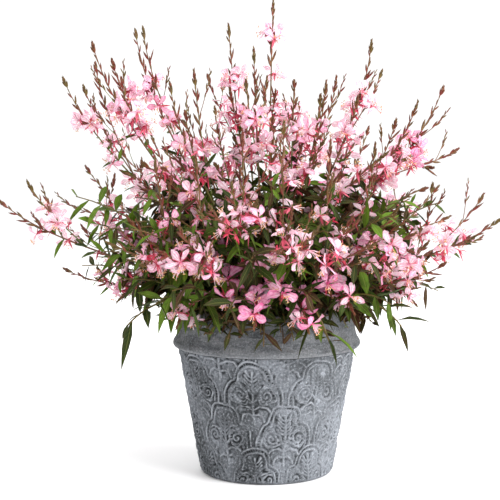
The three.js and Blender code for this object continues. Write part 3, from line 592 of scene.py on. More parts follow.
def open_flower(piece, root, direction, petal, rng, tone, opened=1.0, section=None):
    """Four clawed petals, four reflexed sepals, eight stamens and a style on a slender tube."""
    broad = rng.uniform(0.9, 1.15)
    top, side = flower_axes(direction)
    mouth = root + TUBE_LENGTH * direction
    rods(piece, CALYX, TUBE_SHAPE, root, direction, TUBE_LENGTH, 0.9, sides=5, tone=tone)

    radial, across = spokes(top, side, PETAL_ANGLES + rng.normal(0, 9, 4))
    forward = direction * (0.25 + 1.3 * (1 - opened) + rng.normal(0, 0.16, (4, 1)))
    bend = -direction * (0.32 + rng.normal(0, 0.2, (4, 1))) + across * rng.normal(0, 0.1, (4, 1))
    blades(piece, PETAL, PETAL_SHAPE, mouth - direction * 0.6, unit(radial + forward), across,
           petal * rng.uniform(0.88, 1.06, 4), petal * broad * rng.uniform(0.2, 0.285, 4), bend,
           fold=rng.uniform(-0.2, 0.45, 4), cup=rng.uniform(-0.2, 0.5, 4), twist=rng.normal(0, 0.55, 4),
           tone=np.clip(tone + rng.normal(0, 0.13, 4), 0, 1), half_thickness=0.12, ruffle=0.2,
           section=section)

    radial, across = spokes(top, side, SEPAL_ANGLES + rng.normal(0, 14, 4))
    blades(piece, CALYX, SEPAL_SHAPE, mouth - direction, unit(0.65 * radial - direction * 0.7 - UP * 0.2),
           across, rng.uniform(8, 11.5, 4), rng.uniform(1.0, 1.4, 4),
           -UP * 0.15 + radial * rng.uniform(-0.1, 0.25, (4, 1)),
           cup=0.3, twist=rng.normal(0, 0.5, 4), tone=tone, section=NARROW_SECTION)

    axis = unit(direction - top * 0.4)
    around = np.radians(360 / STAMENS * np.arange(STAMENS) + rng.uniform(0, 30, STAMENS))[:, None]
    threads = rng.uniform(0.2, 0.5, (STAMENS, 1)) * (top * np.cos(around) + side * np.sin(around))
    threads = unit(axis + threads)
    bend = -axis * 0.05 - UP * rng.uniform(-0.1, 0.3, (STAMENS, 1))
    length = rng.uniform(8, 11.5, STAMENS)
    rods(piece, THREAD, THREAD_SHAPE, mouth, threads, length, 0.22, bend, sides=3, tone=tone)
    ends = mouth + length[:, None] * (threads + bend)
    lie = unit(np.cross(threads, rng.normal(0, 1, (STAMENS, 3))))
    rods(piece, THREAD, ANTHER_SHAPE, ends - 1.5 * lie, lie, 3.0, 0.5, sides=3,
         tone=rng.uniform(0, 1, STAMENS), kind=1.0)
    rods(piece, THREAD, THREAD_SHAPE, mouth, unit(axis - UP * 0.1), 13, 0.3, sides=3, tone=0.0)


def spent_flower(piece, root, direction, rng, tone):
    """A withered flower: a red tube with narrow, hanging remains."""
    rods(piece, CALYX, TUBE_SHAPE, root, direction, TUBE_LENGTH * 0.8, 0.85, tone=tone)
    mouth = root + TUBE_LENGTH * 0.8 * direction
    ways = unit(direction * 0.7 + rng.normal(0, 0.55, (4, 3)))
    blades(piece, CALYX, SEPAL_SHAPE, mouth, ways, np.cross(ways, UP), rng.uniform(6, 11, 4),
           rng.uniform(0.7, 1.6, 4), -UP * rng.uniform(0.1, 0.5, (4, 1)), cup=0.5, twist=rng.normal(0, 1, 4),
           tone=rng.uniform(0, 1, 4), section=NARROW_SECTION)


def grow_buds(piece, curve, shares, angles, leans, lengths, radii, tones):
    """Slender buds along a wand."""
    shares = np.asarray(shares)
    roots, tangents = curve.at(shares), curve.along(shares)
    ways = np.array([leaving(*row) for row in zip(tangents, angles, leans)])
    rods(piece, BUD, BUD_SHAPE, roots, ways, lengths, radii, tangents * 0.12, sides=4, tone=tones)


def spiral(many, rng):
    """Angles round a wand, from a random start."""
    return np.arange(many) * GOLDEN_ANGLE + rng.uniform(0, 360)


def grow_twig(spray, curve, share, rng):
    """A thin side branch that carries buds alone."""
    root = curve.at(share)
    way = leaving(curve.along(share), rng.uniform(0, 360), rng.uniform(1.2, 2.4))
    reach = rng.uniform(24, 48)
    twig = Curve(root, root + 0.4 * reach * way, root + reach * (0.7 * way + 0.12 * UP),
                 root + reach * (0.86 * way + 0.28 * UP))
    tube(spray, STEM, twig.at(np.linspace(0, 1, 6)), np.linspace(0.45, 0.3, 6), 4, rng.uniform(0.3, 1))
    sizes = np.linspace(4.5, 8.5, TWIG_BUDS) * rng.uniform(0.85, 1.15, TWIG_BUDS)
    grow_buds(spray, twig, np.linspace(0.98, 0.4, TWIG_BUDS), spiral(TWIG_BUDS, rng),
              rng.uniform(2, 4, TWIG_BUDS), sizes, 0.1 * sizes + 0.15, rng.uniform(0, 1, TWIG_BUDS))


def dress_wand(spray, curve, rng, start, blooms, buds, radii, tone):
    """Everything on a wand from start to its tip: blooms and buds of the CAD model, and smaller ones."""
    whole = curve.length()
    ts = np.linspace(start, 1, 17)
    tube(spray, STEM, curve.at(ts), np.interp(ts, [start, 0.9, 1], radii), 5, rng.uniform(0.2, 1))

    # The tight cone at the tip
    many = CONE_BUDS
    tall = rng.uniform(10, 20)
    from_tip = 1 + tall * (1 - np.arange(many) / many)
    grow_buds(spray, curve, 1 - from_tip / whole, spiral(many, rng), np.linspace(2.4, 5, many),
              np.linspace(8, 4.2, many), np.linspace(1.15, 0.75, many),
              np.clip(rng.uniform(0.2, 0.9) + rng.normal(0, 0.2, many), 0, 1))

    # Long buds below it
    spots = np.arange(tall + 6, max(tall + 20, min(76, 0.55 * whole)), rng.uniform(5.2, 8))
    many = len(spots)
    spots = spots + rng.uniform(-1.5, 1.5, many)
    sizes = np.interp(spots, [15, 60], [7, 12.5]) * rng.uniform(0.85, 1.12, many)
    grow_buds(spray, curve, 1 - spots / whole, spiral(many, rng), rng.uniform(1.7, 3, many), sizes,
              0.1 * sizes + 0.2, rng.uniform(0, 0.7, many))
    if buds:
        grow_buds(spray, curve, *zip(*buds), np.full(len(buds), 1.15), rng.uniform(0, 0.4, len(buds)))

    # Blooms, and a smaller or half-open one by about half of them
    for share, direction, petal in blooms:
        open_flower(spray, curve.at(share), direction, petal, rng, np.clip(tone + rng.normal(0, 0.2), 0, 1))
        for _ in range(rng.choice([0, 0, 1, 1])):
            near = np.clip(share + rng.uniform(-0.14, 0.12), start + 0.03, 0.88)
            way = leaving(curve.along(near), rng.uniform(0, 360), rng.uniform(0.2, 0.8))
            open_flower(spray, curve.at(near), way, petal * rng.uniform(0.95, 1.2), rng,
                        np.clip(tone + rng.normal(0, 0.25), 0, 1), opened=rng.uniform(0.25, 1),
                        section=NARROW_SECTION)

    # Withered ones, twigs of buds, and small capsules further down
    for share in rng.uniform(start + 0.02, lerp(start, 1, 0.45), rng.randint(1, 4)):
        way = leaving(curve.along(share), rng.uniform(0, 360), rng.uniform(0.2, 1.2))
        spent_flower(spray, curve.at(share), way, rng, rng.uniform(0, 1))
    for _ in range((whole > 90) + (whole > 200)):
        grow_twig(spray, curve, rng.uniform(lerp(start, 1, 0.3), 0.8), rng)
    some = rng.randint(3, 6)
    grow_buds(spray, curve, rng.uniform(start + 0.02, lerp(start, 1, 0.5), some), rng.uniform(0, 360, some),
              rng.uniform(1.6, 2.6, some), rng.uniform(4, 6.5, some), np.full(some, 0.7),
              rng.uniform(0.4, 1, some))


def drawn(draw, limits):
    """A number between two limits, from the CAD model's stream."""
    return lerp(*limits, next(draw))


def grow_drawn_leaves(piece, corners, curve, draw, count, span, rng, tone, step=GOLDEN_ANGLE,
                      draws=LEAF_DRAWS):
    """The leaves that the CAD model draws on a stem, each turned as it turned them."""
    rise = draws["rise"]
    for k in range(count):
        share = lerp(*span, (k + (rise and rise * next(draw))) / (count - 1 + rise))
        angle = k * step + drawn(draw, draws["turn"])
        length = LEAF_LENGTH * drawn(draw, draws["size"])
        droop = drawn(draw, draws["droop"])
        lean = drawn(draw, draws["lean"])
        _, way = fitted(corners, curve, share, angle, lean, lambda way: length * (way - droop * UP))
        grow_leaves(piece, curve.at(share), way, length, droop, rng, tone)


def grow_leafy_stem(piece, corners, index, foot, curve, outer, draw, rng):
    """The leafy lower part of a stem, with the inner shoot that it may carry."""
    rooted_stem(piece, foot, curve, LEAFY_SHARE, 14, (1.9, 1.25), rng.uniform(0, 0.5))
    tone = rng.uniform(0.15, 0.6)
    grow_drawn_leaves(piece, corners, curve, draw, LEAVES_PER_STEM, STEM_LEAF_SPAN, rng, tone)
    for shoot_index, (stem_index, tip) in enumerate(INNER_SHOOTS):
        if stem_index == index:
            shoot = side_curve(curve, INNER_SHOOT_START, np.array(tip, float))
            tube(piece, STEM, shoot.at(np.linspace(0, 1, 12)), np.linspace(0.9, 0.4, 12), tone=0.3)
            shoot_draw = random_stream(INNER_SHOOT_SEEDS[0] + INNER_SHOOT_SEEDS[1] * shoot_index)
            grow_drawn_leaves(piece, corners, shoot, shoot_draw, INNER_SHOOT_LEAVES, INNER_LEAF_SPAN, rng,
                              tone)
            grow_leaf_row(piece, shoot, np.linspace(0.3, 0.97, 8), 1, ((0.5, 0.8), (0.5, 1.2), (0, 0.4)),
                          rng, tone + 0.1, turn=50)
    shares = staggered(0.08, 0.8 if outer else 0.66, STEM_LEAVES_ADDED, rng)
    sizes = np.interp(shares, [0.1, 0.5, 0.8], [0.95, 0.7, 0.4])
    grow_leaf_row(piece, curve, shares, sizes, ((0.75, 1), (0.3, 0.9), (-0.1, 0.5)), rng,
                  tone + (0.4 if outer else 0.15), turn=70, wide=1.2, roll=0.9)


def drawn_blooms(corners, axis, start, flowers, draw):
    """The flowers and the bud that the CAD model draws on a wand."""
    turn = 360 * next(draw)
    blooms = []
    for k in range(flowers):
        along = LOWEST_FLOWER + FLOWER_SPACING * k + FLOWER_DRAWS["rise"] * next(draw)
        share = lerp(start, 1, along)
        angle = turn + k * GOLDEN_ANGLE + drawn(draw, FLOWER_DRAWS["turn"])
        petal = PETAL_LENGTH * drawn(draw, FLOWER_DRAWS["size"])
        lean = drawn(draw, FLOWER_DRAWS["lean"])

        def petal_corners(way):
            radial = spokes(*flower_axes(way), PETAL_ANGLES + PETAL_CORNER[0])[0]
            return (TUBE_LENGTH + TUBE_MOUTH_DEPTH) * way + PETAL_CORNER[1] * petal * radial

        blooms.append((share, fitted(corners, axis, share, angle, lean, petal_corners)[1], petal))
    share = lerp(start, 1, BUD_SHARE + BUD_DRAWS["rise"] * next(draw))
    length = BUD_LENGTH * drawn(draw, BUD_DRAWS["size"])
    lean = drawn(draw, BUD_DRAWS["lean"])
    angle = fitted(corners, axis, share, turn + 90, lean, lambda way: length * way)[0]
    return blooms, [(share, angle, lean, length)]


def grow_stem(index, tips, materials):
    """A leafy stem and its flower spray, on the places that the CAD model's rule gives."""
    draw = random_stream(STEM_SEEDS[0] + STEM_SEEDS[1] * index)
    rng = np.random.RandomState(SEEDS["stem"] + index)
    main_tip, *side_tips = [np.array(tip, float) for tip in tips]
    foot, collar = rooting(*(CROWN_SPREAD * main_tip[:2]))
    curve = arched_curve(collar, main_tip)
    number = f"{index + 1:02d}"
    leafy_corners, spray_corners = corners_of("leafy_stem_" + number), corners_of("flower_spray_" + number)
    leafy, spray = Piece(), Piece()
    outer = np.hypot(*main_tip[:2]) > WIDE_STEM_REACH
    grow_leafy_stem(leafy, leafy_corners, index, foot, curve, outer, draw, rng)

    wands = [(curve, LEAFY_SHARE, 2, MAIN_WAND_RADII)]
    for start, tip in zip(SIDE_WAND_STARTS, side_tips):
        flowers = 2 if next(draw) < SECOND_FLOWER_CHANCE else 1
        tried = [side_curve(curve, start + step, tip) for step in STEPS]
        fits = [misfit(spray_corners, c.at(np.array([0.05, 0.49]))) for c in tried]
        wands.append((tried[int(np.argmin(fits))], 0, flowers, SIDE_WAND_RADII))
    tone = STRONG_PINK if index == STRONG_PINK_STEM else rng.uniform(*STEM_PINKS)
    for axis, start, flowers, radii in wands:
        blooms, buds = drawn_blooms(spray_corners, axis, start, flowers, draw)
        dress_wand(spray, axis, rng, start, blooms, buds, radii, tone)
    if index in HIGH_BLOOMS:
        for turn in (0, 110, 230):
            share = HIGH_BLOOMS[index] + rng.uniform(-0.03, 0.03)
            way = leaving(curve.along(share), turn + rng.uniform(0, 60), rng.uniform(0.2, 0.5))
            open_flower(spray, curve.at(share), way, PETAL_LENGTH * rng.uniform(0.95, 1.1), rng, min(tone, 1))
    leafy.build("leaves_" + number, materials, "foliage", ["leafy_stem_" + number])
    spray.build("spray_" + number, materials, "flowers", ["flower_spray_" + number])


def grow_rim_shoot(index, places, materials):
    """A leafy shoot that hangs over the rim."""
    draw = random_stream(RIM_SHOOT_SEEDS[0] + RIM_SHOOT_SEEDS[1] * index)
    rng = np.random.RandomState(SEEDS["rim shoot"] + index)
    start, over, end = [np.array(place, float) for place in places]
    foot, collar = rooting(start[0], start[1])
    turn = lerp(over, end, 0.2)
    turn[2] = over[2] + 8
    curve = Curve(collar, [collar[0], collar[1], over[2] - 6], turn, end)
    number = f"{index + 1:02d}"
    shoot = Piece()
    rooted_stem(shoot, foot, curve, 1, 24, (1.9, 0.8), 0.2)
    grow_drawn_leaves(shoot, corners_of("rim_shoot_" + number), curve, draw, RIM_SHOOT_LEAVES, RIM_LEAF_SPAN,
                      rng, 0.4, 180, RIM_LEAF_DRAWS)
    grow_leaf_row(shoot, curve, np.linspace(0.2, 0.98, 9), 1, ((0.4, 0.75), (0.8, 1.6), (0, 0.3)), rng, 0.5,
                  step=180, swing=50)
    shoot.build("rim_leaves_" + number, materials, "foliage", ["rim_shoot_" + number])


def shoot_curve(foot_at, tip, rise):
    """A shoot's foot and its curve. rise: how far it first goes outward and up, the share of its tip's
    height that it goes up besides, and how high it arches."""
    outwards, upwards, share, arch = rise
    foot, collar = rooting(*foot_at)
    outward = unit(tip * [1, 1, 0])
    turn = collar + UP * (upwards + share * (tip[2] - SOIL_LEVEL)) + outward * outwards
    return foot, Curve(collar, turn, lerp(turn, tip, 0.6) + UP * arch, tip)


def grow_shoot(group, rng, foot_at, tip, rise, leaves, first_leaf, sizes, tone, wide, leans=SHOOT_LEANS):
    """A leafy shoot from the crown to a tip."""
    foot, curve = shoot_curve(foot_at, tip, rise)
    rooted_stem(group, foot, curve, 1, 11, (1.6, 0.6), rng.uniform(0, 0.6), sides=5)
    shares = staggered(first_leaf, 0.99, leaves, rng)
    grow_leaf_row(group, curve, shares, np.interp(shares, [first_leaf, 0.75, 1], sizes),
                  ((0.75, 1.1), leans, (-0.15, 0.45)), rng, tone, wide=wide, roll=1.1, section=NARROW_SECTION)


def level_way(degrees):
    return np.array([math.cos(math.radians(degrees)), math.sin(math.radians(degrees)), 0])


def group_at(groups, degrees):
    """The one of the pieces round the clump that stands at an angle."""
    return groups[int(len(groups) * ((degrees % 360) / 360))]


def dome_height(distance, edge, rise, radius, power):
    """A dome's height at a distance from the axis. power: how square its shoulders are."""
    return edge + rise * math.sqrt(max(0, 1 - (distance / radius) ** power))


def grow_ring(groups, rng, count, arc, scatter, distances, heights, foot, tones, even=False, **looks):
    """Leafy shoots side by side round the clump or round part of it."""
    first, span = arc
    steps = count if span == 360 else count - 1
    for k in range(count):
        place = first + span * k / steps
        turn = place + rng.uniform(-scatter, scatter)
        outward = level_way(turn)
        tip = outward * rng.uniform(*distances) + UP * rng.uniform(*heights)
        grow_shoot(group_at(groups, place if even else turn), rng, (outward * foot)[:2], tip,
                   tone=rng.choice(tones), **looks)


def grow_mound(materials):
    """Short leafy shoots that fill the clump's dense lower part, and a skirt of them over the rim."""
    groups = [Piece() for _ in range(SHOOT_GROUPS)]
    rng = np.random.RandomState(SEEDS["mound"])
    for k in range(LEAFY_SHOOTS):
        turn = k * GOLDEN_ANGLE
        outward = level_way(turn)
        spread = math.sqrt((k + 0.5) / LEAFY_SHOOTS)
        distance = lerp(*MOUND_REACH, spread) * rng.uniform(0.86, 1.04)
        height = lerp(LOWEST_TIP, dome_height(distance, *MOUND_DOME), rng.rand() ** 0.6)
        tone = rng.choice(MOUND_TONES[0], p=MOUND_TONES[1])
        grow_shoot(group_at(groups, turn), rng, (outward * lerp(*MOUND_FEET, spread))[:2],
                   outward * distance + UP * height, (6, 0, 0.55, lerp(4, 30, spread)), LEAVES_PER_SHOOT,
                   0.3, (0.62, 0.66, 0.36), tone, 1.4)
    grow_ring(groups, rng, **FLANK_RING)
    for tip in BRIGHT_SHOOTS:
        grow_shoot(groups[BRIGHT_GROUP], rng, BRIGHT_FOOT, np.array(tip, float), (20, 0, 0.45, 16), 9, 0.6,
                   (0.85, 1.0, 0.7), 0.8, 1.05)
    for ring in LOW_RINGS:
        grow_ring(groups, rng, **ring)
    for k, group in enumerate(groups):
        group.build(f"mound_leaves_{k + 1:02d}", materials, "foliage")


def added_tips(rng):
    """The tips of the added sprays, the low ones first, and how many are low."""
    tips = [np.array(tip, float) for tip in FRONT_SPRAYS]
    for k in range(BACK_SPRAYS):
        turn = lerp(0, BACK_ARC[1], (k + 0.5 + 0.3 * rng.uniform(-1, 1)) / BACK_SPRAYS) + BACK_ARC[0]
        reach = level_way(turn) * rng.uniform(*BACK_REACH)
        tips.append(reach + UP * rng.choice([rng.uniform(*heights) for heights in BACK_HEIGHTS]))
    low_count = len(tips)
    for k in range(INNER_SPRAYS):
        distance = SPRAY_REACH * math.sqrt((k + 0.5) / INNER_SPRAYS) * rng.uniform(0.9, 1.08)
        height = lerp(LOWEST_INNER_TIP, dome_height(distance, *SPRAY_DOME), rng.uniform(0.5, 1.0))
        tips.append(level_way(k * GOLDEN_ANGLE) * distance + UP * height)
    return tips, low_count


def grow_added_sprays(materials):
    """Flowering shoots between the modelled ones: some low round the clump, the others inside it."""
    count = SHOOT_GROUPS // 2
    leafy, sprays = [Piece() for _ in range(count)], [Piece() for _ in range(count)]
    rng = np.random.RandomState(SEEDS["added sprays"])
    tips, low_count = added_tips(rng)
    for k, tip in enumerate(tips):
        kind = LOW_SPRAY if k < low_count else INNER_SPRAY
        stretch = kind["stretch"]
        outward = unit(tip * [1, 1, 0])
        turn = math.degrees(math.atan2(tip[1], tip[0]))
        leaves, spray = group_at(leafy, turn), group_at(sprays, turn)
        tone = rng.choice([0.2, 0.45, 0.75])
        foot, curve = shoot_curve((outward * lerp(12, 42, np.hypot(*tip[:2]) / 180))[:2], tip,
                                  kind["rise"])
        rooted_stem(leaves, foot, curve, stretch, 10, (1.5, 1.0), 0.5)
        shares = staggered(0.3, 0.75, 9, rng)
        grow_leaf_row(leaves, curve, shares, np.interp(shares, [0.3, 0.75], [0.8, 0.4]),
                      ((0.7, 1.1), (0.2, 1.1), (-0.1, 0.5)), rng, tone, wide=1.2, roll=1.0,
                      section=NARROW_SECTION)
        blooms = []
        for share in rng.uniform(*kind["blooms"]):
            way = leaving(curve.along(share), rng.uniform(0, 360), rng.uniform(0.2, 0.6))
            way = unit(way + outward * kind["facing"])
            blooms.append((share, way, PETAL_LENGTH * rng.uniform(1.05, 1.25)))
        pink = STRONG_PINK if k == STRONG_PINK_SPRAY else rng.uniform(*kind["pinks"])
        dress_wand(spray, curve, rng, stretch, blooms, [], ADDED_WAND_RADII, pink)
    for k in range(count):
        leafy[k].build(f"added_leaves_{k + 1:02d}", materials, "foliage")
        sprays[k].build(f"added_sprays_{k + 1:02d}", materials, "flowers")


def distance_to(line, x, y):
    """Distance from points to a bent line, and how far along it the nearest spot is."""
    best, along = np.full(x.shape, 1e9), np.zeros(x.shape)
    done = 0.0
    for (ax, ay), (bx, by) in zip(line[:-1], line[1:]):
        dx, dy = bx - ax, by - ay
        length = np.hypot(dx, dy)
        t = np.clip(((x - ax) * dx + (y - ay) * dy) / np.maximum(length, 1e-9) ** 2, 0, 1)
        d = np.hypot(x - ax - t * dx, y - ay - t * dy)
        along = np.where(d < best, done + t * length, along)
        best = np.minimum(best, d)
        done = done + length
    return best, along


def ridge(distance, half_width):
    return np.exp(-((distance / half_width) ** 2))


def arch_relief(x, y, half_pitch, turned):
    """Relief of one arch and what stands in it, and where it covers the rows above."""
    side = np.abs(x)

    def away_from(line):
        return distance_to([(share * half_pitch, down) for share, down in line], side, y)

    edge, along = away_from(ARCH)
    arch_x = np.interp(y, [down for _, down in ARCH], [share for share, _ in ARCH]) * half_pitch
    inside = (side < arch_x) & (y > 0)
    depth = np.where(inside, edge, -edge)
    relief = ridge(depth - EDGE_LINE, LINE_HALF_WIDTH) + 0.85 * ridge(depth - INNER_LINE, 1.0)
    dashes = 0.1 + 0.9 * np.cos(2 * math.pi * along / DASH_LENGTH)
    relief -= 0.3 * ridge(depth - DASHED_LINE, 0.8) * dashes
    field = depth > FIELD_DEPTH
    inner = 1.15 * ridge(away_from(STALK)[0], STALK_HALF_WIDTH)
    for line in BARBS + BRANCHES:
        inner = np.maximum(inner, 1.1 * ridge(away_from(line)[0], BRANCH_HALF_WIDTH))
    centre_x, centre_y, radius = ROUNDEL
    dx, dy = side - centre_x * half_pitch, y - centre_y
    away, angle = np.hypot(dx, dy), np.arctan2(dy, dx)
    radius = radius * (1 + 0.1 * np.cos(3 * angle + turned) + 0.04 * np.cos(8 * angle - turned))
    inner = np.maximum(inner, 1.1 * ridge(away - radius, LINE_HALF_WIDTH))
    spiral = ((angle + turned) / (2 * math.pi) % 1) * SPIRAL_PITCH + 1.2
    off_spiral = (away - spiral + SPIRAL_PITCH / 2) % SPIRAL_PITCH - SPIRAL_PITCH / 2
    inner = np.maximum(inner, ridge(off_spiral, LINE_HALF_WIDTH) * (away < radius - 1))
    scallops = ridge(away - radius + 2.2, 0.9) * (0.5 + 0.5 * np.cos(11 * angle + turned))
    inner = np.maximum(inner, 0.7 * scallops)
    covers = (depth > -OVERLAP) & (y > -OVERLAP)
    return np.where(field, np.maximum(relief, inner), relief), covers


def strayed(shape, seed):
    """How far the pattern's lines stray from their places."""
    return 0.8 * smooth_noise(shape, 40, seed) + 0.16 * smooth_noise(shape, 8, seed + 1)


def pattern(turns, heights):
    """The raised pattern, 0 to about 1, on a grid of degrees round the pot and heights."""
    u, z = np.meshgrid(turns, heights)
    pitch = 2 * math.pi * np.interp(z, [0, BODY_HEIGHT], [BASE_RADIUS, BODY_TOP_RADIUS]) / REPEATS
    aside, upward = strayed(u.shape, 21), strayed(u.shape, 23)
    relief = np.zeros(u.shape)
    for row, top in enumerate(ARCH_TOPS):
        shift = FIRST_ROW_TURN + (row % 2) * 180 / REPEATS
        place = (u - shift) * REPEATS / 360 + 0.5
        turned = 2.3 * (np.floor(place) % REPEATS) + 1.7 * row
        here, covers = arch_relief((place % 1 - 0.5) * pitch + aside, top - z + upward, pitch / 2, turned)
        relief = np.where(covers, here, relief)
    return relief * np.clip(0.82 + 0.2 * smooth_noise(u.shape, 30, 25), 0.3, 1.15)


def blurred(field, steps):
    for _ in range(steps):
        field = (field + np.roll(field, 1, 1) + np.roll(field, -1, 1)) / 3
        field = (field + np.vstack([field[:1], field[:-1]]) + np.vstack([field[1:], field[-1:]])) / 3
    return field


def smooth_noise(shape, steps, seed):
    """Random heights, smoothed, with a spread of 1."""
    field = blurred(np.random.RandomState(seed).rand(*shape), steps)
    return (field - field.mean()) / field.std()


def round_axis(radius, turns, height):
    """Points round the axis, from the front."""
    angle = np.radians(turns)
    return np.stack([radius * np.sin(angle), -radius * np.cos(angle), height], -1)


def make_pot(material):
    """The pot: a turned skin of many columns with the pattern raised from its wall."""
    turns = np.arange(POT_COLUMNS) * 360 / POT_COLUMNS
    body = np.linspace(3.2, BODY_HEIGHT - 0.6, BODY_ROWS)
    relief = pattern(turns, body)
    # The relief fades out at the foot and under the lip
    strength = np.interp(body, [0, 9, BODY_HEIGHT - 6, BODY_HEIGHT], [0.4, 1, 1, 0.3])[:, None]
    grain = 0.09 * smooth_noise(relief.shape, 1, 5) + 0.1 * smooth_noise(relief.shape, 5, 7)
    height = relief + 0.5 * grain
    flare = BODY_TOP_RADIUS - BASE_RADIUS
    outline = np.array(
        BASE_OUTLINE
        + [(BASE_RADIUS + flare * z / BODY_HEIGHT, z) for z in body]
        + [(LIP_RADIUS + across, BODY_HEIGHT + up) for across, up in BAND_OUTLINE]
        + [(BAND_TOP_RADIUS + across, POT_HEIGHT + up) for across, up in RIM_OUTLINE]
        + [(BAND_TOP_RADIUS - WALL, BODY_HEIGHT), (BASE_RADIUS + flare * FLOOR / BODY_HEIGHT - WALL, FLOOR),
           (AXIS_RADIUS, FLOOR)])
    rows, first, band = len(outline), len(BASE_OUTLINE), len(BASE_OUTLINE) + BODY_ROWS
    push = np.zeros((rows, POT_COLUMNS))
    push[first:band] = (relief - 0.75) * RELIEF_HEIGHT * strength + grain
    dents = blurred(np.random.RandomState(SEEDS["band"]).rand(rows, POT_COLUMNS), 3) - 0.5
    push[band:-3] = 1.1 * dents[band:-3]
    # Above 0 on the ridges: lighter, partly rubbed wear and partly painted highlight. Below 0 beside them:
    # painted shade, with dirt, in the grooves
    wear_and_shading = np.zeros((rows, POT_COLUMNS))
    wear_and_shading[first:band] = height - 0.7 * blurred(height, 3) - 0.3 * blurred(height, 9)
    # Painted shade under the lip and a painted highlight along its lower edge
    for point, shading_value in LIP_WEAR_AND_SHADING.items():
        wear_and_shading[band + point] = shading_value
    rings = round_axis(outline[:, :1] + push, turns, np.broadcast_to(outline[:, 1:], push.shape))
    places = np.zeros(rings.shape)
    places[..., 0] = wear_and_shading
    places[..., 1] = (np.arange(rows) >= band)[:, None]
    pot = Piece()
    pot.loft(rings[None], places[None], 0)
    return pot.build("pot_cast", [material], "pot", ["pot"], sharp=60)


def make_soil(material):
    """Crumbly potting soil, with its sides and underside out of sight in the pot."""
    rng = np.random.RandomState(SEEDS["soil"])
    radii = np.linspace(0.5, SOIL_RADIUS, SOIL_RINGS)
    unevenness = blurred(rng.rand(SOIL_RINGS, SOIL_COLUMNS), 1) - 0.5
    height = soil_height(radii)[:, None] + SOIL_ROUGHNESS * unevenness
    height[-1] = soil_height(SOIL_RADIUS)
    turns = np.arange(SOIL_COLUMNS) * 360 / SOIL_COLUMNS
    underside = FLOOR + SEAT_GAP
    rows = [(AXIS_RADIUS, underside), (SOIL_FOOT_RADIUS, underside), (SOIL_RADIUS, BODY_HEIGHT)]
    rows += zip(radii[::-1], height[::-1])
    rings = np.array([round_axis(r, turns, np.broadcast_to(z, SOIL_COLUMNS)) for r, z in rows])
    soil = Piece()
    soil.loft(rings[None], np.zeros((1,) + rings.shape), 0)
    away = (SOIL_RADIUS - 5) * np.sqrt(rng.rand(CRUMBS))
    turns = np.degrees(rng.uniform(0, 2 * math.pi, CRUMBS))
    spots = round_axis(away, turns, soil_height(away) - 0.6)
    ways = unit(rng.normal(0, 1, (CRUMBS, 3)) * [1, 1, 0.3])
    sizes = rng.gamma(3, 1.1, CRUMBS) + 1
    rods(soil, 0, CRUMB_SHAPE, spots - ways * sizes[:, None] / 2, ways, sizes, 0.42 * sizes, sides=5,
         tone=rng.rand(CRUMBS), kind=1)
    return soil.build("potting_soil", [material], "soil", ["soil"], sharp=60)


class Graph:
    """A material's node tree, built by short calls."""

    def __init__(self, name):
        self.material = bpy.data.materials.new(name)
        self.material.use_nodes = True
        self.tree = self.material.node_tree
        self.shader = self.tree.nodes["Principled BSDF"]

    def node(self, kind, inputs=None, **settings):
        node = self.tree.nodes.new("ShaderNode" + kind)
        for name, value in settings.items():
            setattr(node, name, value)
        for name, value in (inputs or {}).items():
            self.put(node.inputs[name], value)
        return node

    def put(self, socket, value):
        if isinstance(value, bpy.types.NodeSocket):
            self.tree.links.new(value, socket)
        elif isinstance(value, tuple) and len(value) == 3 and socket.type == "RGBA":
            socket.default_value = (*value, 1)
        else:
            socket.default_value = value

    def maths(self, operation, a, b=0.0, c=0.0):
        return self.node("Math", {0: a, 1: b, 2: c}, operation=operation).outputs[0]

    def ramp(self, value, low, high, to_low=0.0, to_high=1.0):
        return self.node("MapRange", {"Value": value, "From Min": low, "From Max": high, "To Min": to_low,
                                      "To Max": to_high}, interpolation_type="SMOOTHSTEP").outputs[0]

    def times(self, a, b):
        return self.maths("MULTIPLY", a, b)

    def plus(self, a, b):
        return self.maths("ADD", a, b)

    def mix(self, share, first, second):
        node = self.node("Mix", data_type="RGBA")
        self.put(node.inputs["Factor"], share)
        self.put(node.inputs[6], first)
        self.put(node.inputs[7], second)
        return node.outputs[2]

    def between(self, value, low, high, first, second):
        """From the first colour where a value is low to the second where it is high."""
        return self.mix(self.ramp(value, low, high), srgb(*first), srgb(*second))

    def tints(self, colour, rows):
        """Tints laid over a colour. rows: a value, where the tint starts and where it is full, and its share
        and colour."""
        for value, low, high, share, tint in rows:
            colour = self.mix(self.ramp(value, low, high, 0.0, share), colour, srgb(*tint))
        return colour

    def at(self):
        return self.node("TexCoord").outputs["Object"]

    def noise(self, scale, detail=2.0, roughness=0.5, vector=None):
        inputs = {"Scale": scale, "Detail": detail, "Roughness": roughness, "Vector": vector or self.at()}
        return self.node("TexNoise", inputs).outputs[0]

    def place(self):
        attribute = self.node("Attribute", attribute_name="place")
        return tuple(self.node("SeparateXYZ", {0: attribute.outputs["Vector"]}).outputs)

    def bump(self, height, distance, strength=1.0):
        node = self.node("Bump", {"Height": height, "Distance": distance, "Strength": strength})
        self.put(self.shader.inputs["Normal"], node.outputs[0])

    def finish(self, colour, roughness, specular=0.5, light_through=0.0):
        values = {"Base Color": colour, "Roughness": roughness, "Specular IOR Level": specular,
                  "Subsurface Weight": light_through, "Subsurface Radius": (1.0, 0.7, 0.75),
                  "Subsurface Scale": 0.004}
        for name, value in values.items():
            self.put(self.shader.inputs[name], value)
        return self.material


def srgb(*colour):
    """A colour in linear light from its usual 0 to 255 values."""
    return tuple(((v / 255 + 0.055) / 1.055) ** 2.4 if v > 10 else v / 255 / 12.92 for v in colour)


